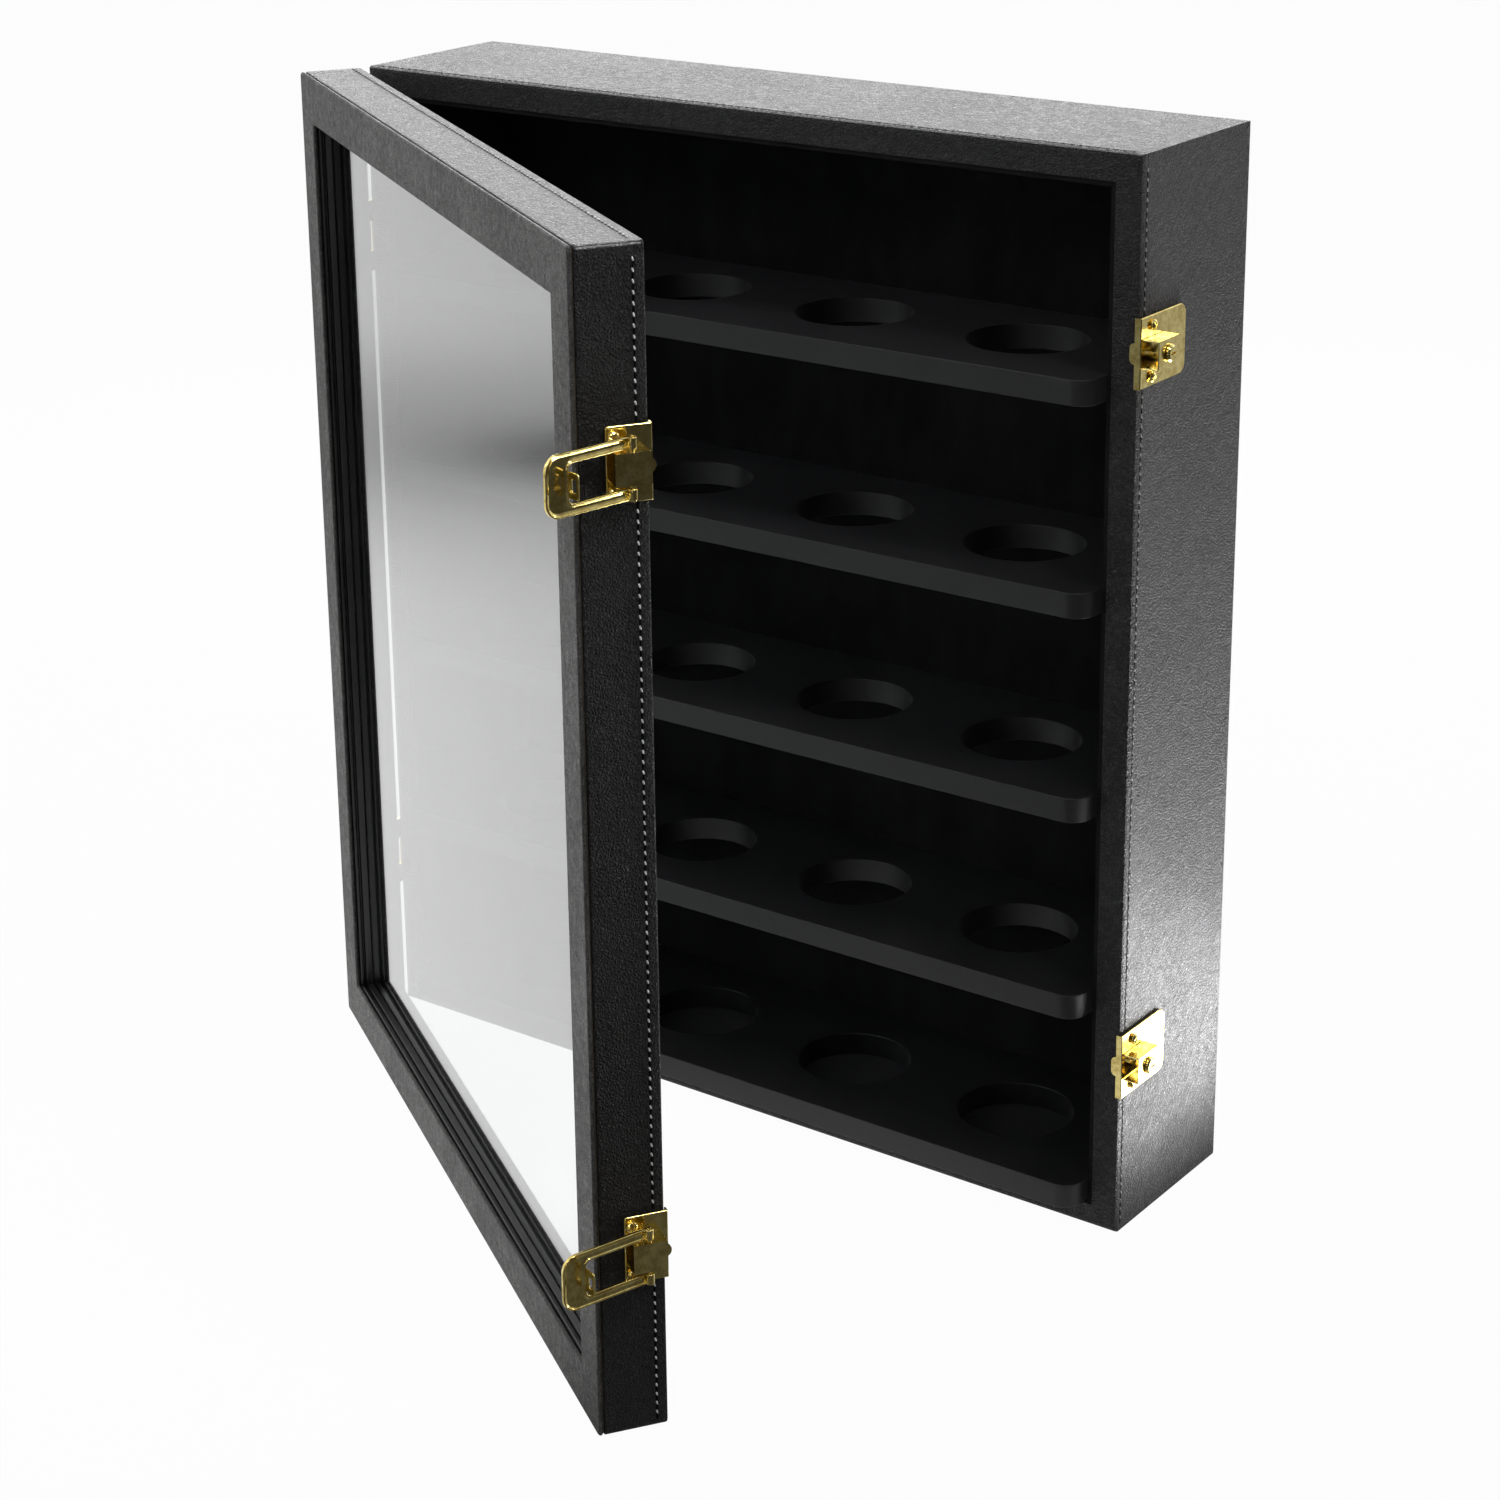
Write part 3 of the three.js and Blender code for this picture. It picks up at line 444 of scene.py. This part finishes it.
# finish and radius of the edges of each rounded node
softening = {
    "case_cover": ("case", 0.9 * mm), "door_facing": ("facing", 0.6 * mm), "door_cover": ("door", 0.5 * mm),
    **{f"ball_shelf_{n}": ("shelf", 1.1 * mm) for n in range(1, 6)},
    **{f"glass_stop_{side}": ("moulding", 0.4 * mm) for side in ("left", "right", "top", "bottom")},
}
for level in ("upper", "lower"):
    softening.update({
        f"{level}_keeper_plate": ("brass", 0.3 * mm), f"{level}_lock_box": ("brass", 0.5 * mm),
        f"{level}_lock_plug": ("brass", 0.15 * mm), f"{level}_lock_catch": ("steel", 0.1 * mm),
        f"{level}_hasp_plate": ("doorBrass", 0.3 * mm), f"{level}_hasp_box": ("doorBrass", 0.5 * mm),
        f"{level}_loop_pin": ("doorBrass", 0.1 * mm),
        f"{level}_hinge_case_leaf": ("brass", 0.2 * mm), f"{level}_hinge_door_leaf": ("doorBrass", 0.2 * mm),
        f"{level}_hinge_pin": ("brass", 0.1 * mm),
    })
for node, (finish, width) in softening.items():
    softened(node, finish, width)
print("edges rounded on", len(softening), "nodes")

# the CAD's own nodes wear the finish of their slot
for node, piece in nodes.items():
    piece.data.materials.clear()
    piece.data.materials.append(finishes["case" if slotOf[node] == "leatherette" else slotOf[node]])


# faces of a grid of rows whose columns close into a ring, and whose rows do too where asked
def ringFaces(rows, columns, closed=False):
    here = np.arange(rows * columns).reshape(rows, columns)
    after = np.roll(here, -1, axis=0) if closed else here[1:]
    here = here if closed else here[:-1]
    corners = [here, after, np.roll(after, -1, axis=1), np.roll(here, -1, axis=1)]
    return np.stack(corners, axis=-1).reshape(-1, 4)


# the same with a fan of triangles at the first row and the last, to two points that follow the grid's
def cappedFaces(rows, columns):
    here = np.arange(rows * columns).reshape(rows, columns)
    right = np.roll(here, -1, axis=1)
    first, last = rows * columns, rows * columns + 1
    caps = [(first, a, b) for a, b in zip(here[0].tolist(), right[0].tolist())]
    caps += [(last, b, a) for a, b in zip(here[-1].tolist(), right[-1].tolist())]
    return ringFaces(rows, columns).tolist() + caps


# A small closed bead: rings round a line from end to end. Its half width at u is w sin(u)^0.6, its place
# along the line l cos(u), and v goes round it; half of its height stands over the leather.
def beadShape(values):
    u = np.linspace(0, math.pi, values["rings"] + 2)[1:-1]
    v = np.linspace(0, 2 * math.pi, values["sides"], endpoint=False)
    along = np.cos(u)[:, None] * values["length"] / 2 + 0 * v
    swell = np.sin(u)[:, None] ** values["swell"]
    across = swell * np.cos(v) * values["width"] / 2
    out = swell * np.sin(v) * values["height"] / 2
    points = np.stack([along, across, out], axis=-1).reshape(-1, 3)
    ends = np.array([[values["length"] / 2, 0, 0], [-values["length"] / 2, 0, 0]])
    return np.concatenate([points, ends]), cappedFaces(values["rings"], values["sides"])


# Stitches: the bead set at each step of a straight run, turned a little across it as a lock stitch lies
def stitchRun(start, end, out, values, gaps=()):
    start, end, out = (np.asarray(a, float) for a in (start, end, out))
    length = np.linalg.norm(end - start)
    forward = (end - start) / length
    sideways = np.cross(out, forward)
    count = int(length / values["pitch"])
    steps = (np.arange(count) + values["phase"]) * length / count
    centres = start + steps[:, None] * forward
    for low, high in gaps:
        centres = centres[(centres[:, 2] < low) | (centres[:, 2] > high)]
    points, faces = beadShape(values)
    tilt = math.radians(values["tilt"])
    lengthwise = forward * math.cos(tilt) + sideways * math.sin(tilt)
    crosswise = np.cross(out, lengthwise)
    shape = points[:, :1] * lengthwise + points[:, 1:2] * crosswise + points[:, 2:] * out
    allPoints = (centres[:, None, :] + shape[None]).reshape(-1, 3)
    allFaces = [tuple(corner + k * len(points) for corner in face)
                for k in range(len(centres)) for face in faces]
    return allPoints, allFaces


# several runs as one list of points and one of faces
def joinRuns(runs):
    points, faces, base = [], [], 0
    for runPoints, runFaces in runs:
        points.append(runPoints)
        faces += [tuple(corner + base for corner in face) for face in runFaces]
        base += len(runPoints)
    return np.concatenate(points), faces


# upper and lower are the heights of the hasps and hinges, whose plates and leaves hide the stitches;
# the lines are the seams' places through the case and through the door
stitch = {"pitch": 4.5 * mm, "length": 1.9 * mm, "width": 0.85 * mm, "height": 1.2 * mm, "swell": 0.6,
          "tilt": 18, "phase": 0.5, "rings": 5, "sides": 6, "inset": 5 * mm,
          "caseLine": -46.7 * mm, "doorLine": -6.4 * mm, "upper": 442 * mm, "lower": 90 * mm,
          "plateHalf": 17 * mm, "leafHalf": 20 * mm}
# needle holes: flat dark beads between the stitches, the shade in the holes painted on
needleHoleShade = {**stitch, "length": 2.9 * mm, "width": 1.0 * mm, "height": 0.24 * mm, "tilt": 0, "phase": 0.02}
plateGaps, leafGaps = ([(stitch[level] - stitch[half], stitch[level] + stitch[half])
                        for level in ("upper", "lower")] for half in ("plateHalf", "leafHalf"))


# A seam's three runs on a box: up the latch side, up the hinge side, and along the top
def seamRuns(low, high, line, values):
    inset = values["inset"]
    return joinRuns([
        stitchRun((high[0], line, low[2] + inset), (high[0], line, high[2] - inset), (1, 0, 0),
                  values, plateGaps),
        stitchRun((low[0], line, low[2] + inset), (low[0], line, high[2] - inset), (-1, 0, 0),
                  values, leafGaps),
        stitchRun((low[0] + inset, line, high[2]), (high[0] - inset, line, high[2]), (0, 0, 1),
                  values)])


def caseSeam(values):
    return seamRuns(*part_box("case_cover"), values["caseLine"], values)


def doorSeam(values):
    cover = toDoor(np.array([v.co for v in nodes["door_cover"].data.vertices]))
    points, faces = seamRuns(cover.min(0), cover.max(0), values["doorLine"], values)
    return fromDoor(points), faces


dress(meshPiece("case_stitches", *caseSeam(stitch)), "thread", "case")
dress(meshPiece("case_needle_hole_shade", *caseSeam(needleHoleShade)), "needleHoleShade", "case")
dress(meshPiece("door_stitches", *doorSeam(stitch)), "doorThread", "door")
dress(meshPiece("door_needle_hole_shade", *doorSeam(needleHoleShade)), "doorNeedleHoleShade", "door")
print("stitches laid")


# Screw: a profile turned about its axis, as long and as wide as the node's own. The head is a cap of a
# sphere, cut across by a slot: a dip of the cap that is full up to slotFlat of half the slot's width from
# its line and fades over the next slotWall of it.
def screw(name, node, out, values, body, finish):
    points = np.array([v.co for v in nodes[node].data.vertices])
    out = np.asarray(out, float)
    reach = points @ out
    top, bottom = reach.max(), reach.min()
    flat = points - reach[:, None] * out
    centre = (flat.max(0) + flat.min(0)) / 2
    headRadius = np.linalg.norm(flat - centre, axis=1).max()
    cap, shank, slotHalf = values["cap"], values["shank"], values["slotHalf"]
    sphere = (headRadius ** 2 + cap ** 2) / (2 * cap)
    radius = np.linspace(0, 1, values["rings"]) * headRadius
    height = top - sphere + np.sqrt(sphere ** 2 - radius ** 2)
    low, under = top - cap, top - cap - values["headEdge"]
    tailRadius = np.array([headRadius, headRadius * values["headUnder"], shank, shank, shank * values["tip"]])
    tailHeight = np.array([low - values["headSide"], under, under, bottom + values["tipLength"], bottom])
    radius, height = np.concatenate([radius[1:], tailRadius]), np.concatenate([height[1:], tailHeight])
    turn = np.linspace(0, 2 * math.pi, values["sides"], endpoint=False)
    a = np.array([0.0, 0.0, 1.0])
    b = np.cross(out, a)
    along = radius[:, None] * np.cos(turn)
    across = radius[:, None] * np.sin(turn)
    up = height[:, None] + 0 * turn
    head = slice(0, values["rings"] - 1)
    slotSin, slotCos = math.sin(values["slotTurn"]), math.cos(values["slotTurn"])
    away = np.abs(along[head] * slotSin - across[head] * slotCos)
    dip = 1 - np.clip((away - slotHalf * values["slotFlat"]) / (slotHalf * values["slotWall"]), 0, 1)
    floor = top - values["slotDepth"]
    up[head] = up[head] * (1 - dip) + np.minimum(up[head], floor) * dip
    grid = centre + along[..., None] * a + across[..., None] * b + up[..., None] * out
    allPoints = np.concatenate([grid.reshape(-1, 3), [centre + out * floor, centre + out * bottom]])
    piece = meshPiece(name, allPoints, cappedFaces(*grid.shape[:2]))
    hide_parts(node)
    return dress(piece, finish, body)


# turns are of the slots, in radians, for the top screw and the bottom one; doorTurn is added on the door
screwLook = {"rings": 15, "sides": 48, "cap": 1.1 * mm, "shank": 1.1 * mm, "tip": 0.75, "tipLength": 0.5 * mm,
             "headSide": 0.15 * mm, "headEdge": 0.35 * mm, "headUnder": 0.985, "slotHalf": 0.42 * mm,
             "slotFlat": 0.6, "slotWall": 0.8, "slotDepth": 0.85 * mm, "doorTurn": 0.7,
             "turns": {"upper": (0.5, 1.9), "lower": (2.4, 0.9)}}
doorOut = (doorCos, -doorSin, 0)
for level, turns in screwLook["turns"].items():
    for end, turn in zip(("top", "bottom"), turns):
        screw(f"{level}_slotted_keeper_screw_{end}", f"{level}_keeper_screw_{end}", (1, 0, 0),
              {**screwLook, "slotTurn": turn}, "case", "brass")
        screw(f"{level}_slotted_hasp_screw_{end}", f"{level}_hasp_screw_{end}", doorOut,
              {**screwLook, "slotTurn": turn + screwLook["doorTurn"]}, "door", "doorBrass")
print("screws turned")


# Pressed loop of a hasp, as it lies when latched: y from its pivot to the finger end, x outwards, in mm.
# An edge is a line of points with the direction out of the metal at each: round the tip of an arm, along
# it, round a corner to the end, and back in mirror. side is 1 for the outline and -1 for the window.
def loopEdge(side, far, wide, corner, values):
    middle = (values["half"] + values["window"]) / 2
    tip = (values["half"] - values["window"]) / 2
    quarter = np.linspace(0, math.pi / 2, values["tipSteps"])
    arm = np.linspace(0, 1, values["armSteps"])[1:-1]
    bend = np.linspace(0, math.pi / 2, values["bendSteps"])
    end = np.linspace(1, 0, values["endSteps"])[1:]
    y = np.concatenate([-tip * np.cos(quarter), arm * (far - corner),
                        far - corner + corner * np.sin(bend), far + 0 * end])
    z = np.concatenate([middle + side * tip * np.sin(quarter), wide + 0 * arm,
                        wide - corner + corner * np.cos(bend), (wide - corner) * end])
    outY = np.concatenate([-np.cos(quarter), 0 * arm, side * np.sin(bend), side + 0 * end])
    outZ = np.concatenate([side * np.sin(quarter), side + 0 * arm, side * np.cos(bend), 0 * end])
    edge, away = np.stack([y, z], axis=-1), np.stack([outY, outZ], axis=-1)
    mirrored = np.array([1, -1])
    return np.concatenate([edge, edge[-2::-1] * mirrored]), np.concatenate([away, away[-2::-1] * mirrored])


# The metal across, from an edge inwards: the distance d from the edge and the height x, from the flat
# outer face round the edge, over a half round rim, and down a quarter sine into the dish.
def loopProfile(values):
    over = np.linspace(math.pi, 0, values["rimSteps"])
    slope = np.linspace(0, 1, values["dishSteps"])[1:]
    rim, low, top = values["rim"], values["outFace"], values["rimTop"]
    ease, middle = values["edgeEase"], values["edgeMiddle"]
    spread = values["dishWidth"] - 2 * rim
    d = np.concatenate([[ease, middle, 0], rim + rim * np.cos(over), 2 * rim + spread * slope])
    x = np.concatenate([[low, low - middle, low - ease], top + rim - rim * np.sin(over),
                        top + rim + (values["dish"] - top - rim) * np.sin(slope * math.pi / 2)])
    return d, x


# Plate of the loop: the profile along both edges at once, joined into one ring across the metal
def loopPlate(values):
    outer, fromOuter = loopEdge(1, values["length"], values["half"], values["corner"], values)
    inner, fromInner = loopEdge(-1, values["reach"], values["window"], values["windowCorner"], values)
    d, x = loopProfile(values)
    first = outer[:, None] - d[:, None] * fromOuter[:, None]
    second = (inner[:, None] - d[:, None] * fromInner[:, None])[:, ::-1]
    flat = np.concatenate([first, second], axis=1)
    height = np.broadcast_to(np.concatenate([x, x[::-1]]), flat.shape[:2])
    return np.concatenate([height[..., None], flat], axis=-1)


# Barrel: a rectangle of metal with eased outer corners, carried round the pin from low to high
def loopBarrel(low, high, values):
    turn = np.linspace(0, 2 * math.pi, values["barrelSides"], endpoint=False)
    r0, r1, soft = values["bore"], values["barrel"], values["barrelSoft"]
    near = soft * 0.3
    radius = np.array([r0, r0, r1 - soft, r1 - near, r1, r1, r1 - near, r1 - soft])
    z = np.array([high, low, low, low + near, low + soft, high - soft, high - near, high])
    return np.stack([np.cos(turn)[:, None] * radius, np.sin(turn)[:, None] * radius, 0 * turn[:, None] + z],
                    axis=-1)


# Tongue: a frame round its slot. Each ring is a box with superellipse corners, c and s over the power root
# of |c|^power + |s|^power at angle u; the rings from the slot to the outline make a closed ring of metal.
def loopTongue(values):
    u = np.linspace(0, 2 * math.pi, values["tongueSides"], endpoint=False)
    c, s = np.cos(u), np.sin(u)
    lip, ease = values["slotLip"], values["tongueEase"]
    inside, outside = values["slotPower"], values["tonguePower"]
    y0, y1 = values["reach"], values["reach"] + values["sheet"]

    def ring(box, grown, power, y):
        x0, x1, halfHeight = box[0] - grown, box[1] + grown, box[2] + grown
        square = (np.abs(c) ** power + np.abs(s) ** power) ** (-1 / power)
        return np.stack([(x0 + x1) / 2 + (x1 - x0) / 2 * c * square, y + 0 * c, halfHeight * s * square],
                        axis=-1)

    slot = [(0, y1), (0, y0 - lip), (ease, y0 - 2 * lip), (2 * ease, y0 - lip), (3 * ease, y0)]
    outline = [(-ease, y0), (0, y0 + ease), (0, y1 - ease), (-ease, y1)]
    return np.stack([ring(values["slot"], grown, inside, y) for grown, y in slot]
                    + [ring(values["tongue"], grown, outside, y) for grown, y in outline], axis=1)


# points that lie on each other, at tips and poles, become one, and the faces point outwards
def closedUp(piece):
    work = bmesh.new()
    work.from_mesh(piece.data)
    bmesh.ops.remove_doubles(work, verts=work.verts, dist=0.002 * mm)
    bmesh.ops.recalc_face_normals(work, faces=work.faces)
    work.to_mesh(piece.data)
    work.free()


# grids of rings become one list of points and one of faces; each comes with whether its rows close too
def joinGrids(parts):
    points, faces, base = [], [], 0
    for grid, closed in parts:
        faces.append(ringFaces(*grid.shape[:2], closed) + base)
        points.append(grid.reshape(-1, 3))
        base += grid.shape[0] * grid.shape[1]
    return np.concatenate(points), np.concatenate(faces).tolist()


# in mm; slot and tongue are boxes from x to x with half a height; levels are heights and swings in degrees
loopLook = {"half": 13.2, "window": 8.2, "length": 44, "reach": 32.2, "corner": 7, "windowCorner": 2.2,
            "tipSteps": 8, "armSteps": 14, "bendSteps": 12, "endSteps": 8, "rim": 0.5, "rimTop": 0.2,
            "rimSteps": 9, "edgeEase": 0.3, "edgeMiddle": 0.09, "outFace": 2.0, "dish": 1.2,
            "dishWidth": 2.4, "dishSteps": 8, "bore": 1.16, "barrel": 2.0, "barrelSoft": 0.35,
            "barrelSides": 40, "tongueSides": 48, "tongueEase": 0.3, "slotLip": 0.15, "sheet": 0.8,
            "slot": (-5.0, -1.5, 2.8), "tongue": (-6.4, 1.6, 5.5), "slotPower": 5, "tonguePower": 9,
            "door": (463.3, -1.3), "pivot": (8.8, -9.9), "levels": {"upper": (442, 22), "lower": (90, 16)}}


# the loop swung out on its pin: turned half round less its own swing, then set on the door
def pressedLoop(level, values):
    half, window = values["half"], values["window"]
    points, faces = joinGrids([
        (loopPlate(values), False), (loopBarrel(-half, -window, values), True),
        (loopBarrel(window, half, values), True), (loopTongue(values), True)])
    x, y, z = points.T
    height, swing = values["levels"][level]
    turn = math.radians(swing - 180)
    doorX, doorY = (a + b for a, b in zip(values["door"], values["pivot"]))
    spun = np.stack([doorX + x * math.cos(turn) - y * math.sin(turn),
                     doorY + x * math.sin(turn) + y * math.cos(turn), height + z], axis=-1)
    piece = meshPiece(f"{level}_pressed_loop", fromDoor(spun * mm), faces)
    closedUp(piece)
    evenNormals(piece)
    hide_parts(f"{level}_hasp_loop")
    return dress(piece, "doorBrass", f"{level}_loop")


for level in loopLook["levels"]:
    pressedLoop(level, loopLook)
print("loops pressed")

# The hide is turned over the door's top edge at the latch side in two thin rolls, which catch the light;
# their light grey colour is a painted highlight.
# In mm: centres as x and z on the door, and the rolls' ends through it
rollLook = {"radius": 0.8, "centres": ((461.7, 531.2), (462.5, 530.4)), "from": -30.2, "to": -2.2,
            "rings": 40, "endSteps": 6, "sides": 14, "roundTo": 1.2}


# rings along a line, whose radius is r times the root of 1 - (1 - a)^2 at a part a of the rounded end
def hideRoll(centre, values):
    start, end, soft = values["from"], values["to"], values["roundTo"]
    slant = np.linspace(0, math.pi / 2, values["endSteps"])
    body = np.linspace(start + soft, end - soft, values["rings"])[1:-1]
    y = np.concatenate([start + soft * (1 - np.cos(slant)), body, end - soft * (1 - np.cos(slant[::-1]))])
    reach = np.minimum(1, np.minimum(y - start, end - y) / soft)
    radius = values["radius"] * np.sqrt(np.clip(1 - (1 - reach) ** 2, 0, 1))
    turn = np.linspace(0, 2 * math.pi, values["sides"], endpoint=False)
    return np.stack([centre[0] + radius[:, None] * np.cos(turn), y[:, None] + 0 * turn,
                     centre[1] + radius[:, None] * np.sin(turn)], axis=-1)


points, faces = joinGrids([(hideRoll(centre, rollLook), False) for centre in rollLook["centres"]])
roll = meshPiece("door_corner_rolls", fromDoor(points * mm), faces)
closedUp(roll)
dress(roll, "roll", "door")
print("corner rolled")


# brightness in a mirror: 1 behind and on the left, down to 1 - dim in front and on the right
def studioSide(x, y, values):
    lieX, lieY = values["lie"]
    return 1 - (x * lieX - y * lieY).ramp(values["dimFrom"], values["dimTo"]) * values["dim"]


# band is a dim strip at x = -bandAt, far is where the floor ends in a dim backdrop, and spot is the
# small dark patch that the glass mirrors
floorLook = {"half": 6.0, "level": -0.6 * mm, "albedo": (0.86, 0.86, 0.86), "seen": 0.97, "mirrored": 0.9,
             "lie": (0.75, 0.66), "dimFrom": 0.12, "dimTo": 0.42, "dim": 0.95,
             "right": (0.45, 1.1), "rightDim": 0.6, "bandAt": 1.36, "bandWidth": 0.3, "bandDim": 0.5,
             "far": (1.3, 1.7), "farDim": 0.14, "spotY": 0.08, "spotSize": (0.1, 0.14), "spotDim": 0.36}


# Floor: white as the camera sees it, with a faint shadow kept. Metal and glass see it bright behind and
# on the left, and dim in front and on the right, where a studio is dark.
def floorFinish(values):
    f = Finish("paleFloor")
    place = f.place()
    x, y = place.part(0), place.part(1)
    away = x + values["bandAt"]
    band = away.bell(values["bandWidth"]) * values["bandDim"]
    band = band + (x * -1).ramp(*values["far"]) * values["farDim"]
    spotX, spotY = values["spotSize"]
    spot = away.bell(spotX) * (y - values["spotY"]).bell(spotY) * values["spotDim"]
    mirror = studioSide(x, y, values) * (1 - x.ramp(*values["right"]) * values["rightDim"])
    mirror = mirror * (1 - band - spot)
    lit = f.node("BsdfDiffuse", {}, {"Color": (*values["albedo"], 1)})
    white = f.node("Emission", {}, {"Color": (1, 1, 1, 1), "Strength": 1})
    shown = f.node("Emission", {}, {"Color": (1, 1, 1, 1), "Strength": mirror})
    direct = (f.ray("Camera") + f.ray("Transmission")).least(1)
    base = f.node("MixShader", {}, {0: direct * values["seen"], 1: lit, 2: white})
    surface = f.node("MixShader", {}, {0: f.ray("Glossy") * values["mirrored"], 1: base, 2: shown})
    f.node("OutputMaterial", {}, {"Surface": surface})
    return f.material


half, level = floorLook["half"], floorLook["level"]
corners = [(-half, -half, level), (half, -half, level), (half, half, level), (-half, half, level)]
floor = meshPiece("pale_floor", corners, [(0, 1, 2, 3)], smooth=False)
floor.data.materials.append(floorFinish(floorLook))

# World: white to the camera and through glass. In reflections it is bright behind and on the left, and
# dim in front on the right; diffuse light has the same lie and a lower level.
skyLook = {"lie": (0.75, 0.66), "dimFrom": -0.35, "dimTo": 0.6, "dim": 0.92, "diffuse": 0.3}
world = bpy.data.worlds.new("studio")
world.use_nodes = True
bpy.context.scene.world = world
w = Finish("", world.node_tree)
aim = w.node("TexCoord", {}, {}, "Generated")
seen = (w.ray("Camera") + w.ray("Transmission")).least(1)
glossy = w.ray("Glossy")
mirror = studioSide(aim.part(0), aim.part(1), skyLook)
strength = seen + (1 - seen) * mirror * (glossy + (1 - glossy) * skyLook["diffuse"])
sky = w.node("Background", {}, {"Color": (1, 1, 1, 1), "Strength": strength})
w.node("OutputWorld", {}, {"Surface": sky})

# Softboxes: where each stands, what it faces, its width and height in metres, its watts, and the degrees
# that it spreads over where that is less than half round
lamps = {
    "key": {"at": (-1.3, -1.3, 1.7), "to": (0, 0, 0.4), "size": (1.1, 1.1), "power": 6},
    "high": {"at": (0.73, -0.35, 1.22), "to": (0.16, -0.31, 0.52), "size": (0.4, 0.4), "power": 0.5,
             "spread": 40},
    "crown": {"at": (0.8, -1.33, 1.34), "to": (0.17, -0.31, 0.44), "size": (0.55, 0.45), "power": 2.8},
    "strip": {"at": (0.55, -1.5, 0.5), "to": (0.1, -0.2, 0.4), "size": (0.06, 0.7), "power": 1.4},
    "rear": {"at": (1.1, 1.2, 1.0), "to": (0.23, 0, 0.4), "size": (0.5, 0.35), "power": 3.5},
    "back": {"at": (-0.9, 1.3, 1.05), "to": (0.15, 0, 0.5), "size": (1.5, 1.0), "power": 16},
    "table": {"at": (0.37, 0.14, 0.003), "to": (0.37, 0.14, 1), "size": (0.22, 0.3), "power": 3.2},
}
for name, values in lamps.items():
    light = bpy.data.lights.new(name, "AREA")
    light.shape, light.energy = "RECTANGLE", values["power"]
    light.size, light.size_y = values["size"]
    light.spread = math.radians(values.get("spread", 180))
    lamp = bpy.data.objects.new(name + "_softbox", light)
    lamp.location = values["at"]
    lamp.rotation_euler = (Vector(values["to"]) - Vector(values["at"])).to_track_quat("-Z", "Y").to_euler()
    lamp.visible_camera = False
    bpy.context.scene.collection.objects.link(lamp)
print("stage lit")

# Camera at the photograph's viewing angle, solved from its perspective; pixels are of a 1500 frame
lens = {"azimuth": 0.651072, "elevation": 0.301484, "roll": -0.016243, "distance": 1.687049,
        "target": (-0.060906, 0, 0.297950), "focalPixels": 3216.125, "centre": (692.326, 525.0),
        "frame": 1500, "sensor": 36, "clip": (0.05, 30)}
az, el = lens["azimuth"], lens["elevation"]
back = Vector((math.sin(az) * math.cos(el), -math.cos(az) * math.cos(el), math.sin(el)))
right = Vector((math.cos(az), math.sin(az), 0))
up = back.cross(right)
c, s = math.cos(lens["roll"]), math.sin(lens["roll"])
right, up = right * c + up * s, up * c - right * s
camera = bpy.data.objects.new("photo_camera", bpy.data.cameras.new("photo_camera"))
camera.data.sensor_width = lens["sensor"]
camera.data.lens = lens["focalPixels"] * lens["sensor"] / lens["frame"]
camera.data.shift_x = (lens["frame"] / 2 - lens["centre"][0]) / lens["frame"]
camera.data.shift_y = (lens["centre"][1] - lens["frame"] / 2) / lens["frame"]
camera.data.clip_start, camera.data.clip_end = lens["clip"]
place = Vector(lens["target"]) + back * lens["distance"]
camera.matrix_world = Matrix([(right.x, up.x, back.x, place.x), (right.y, up.y, back.y, place.y),
                              (right.z, up.z, back.z, place.z), (0, 0, 0, 1)])
bpy.context.scene.collection.objects.link(camera)
bpy.context.scene.camera = camera
bpy.context.scene.view_settings.view_transform = "Standard"
print("camera placed")
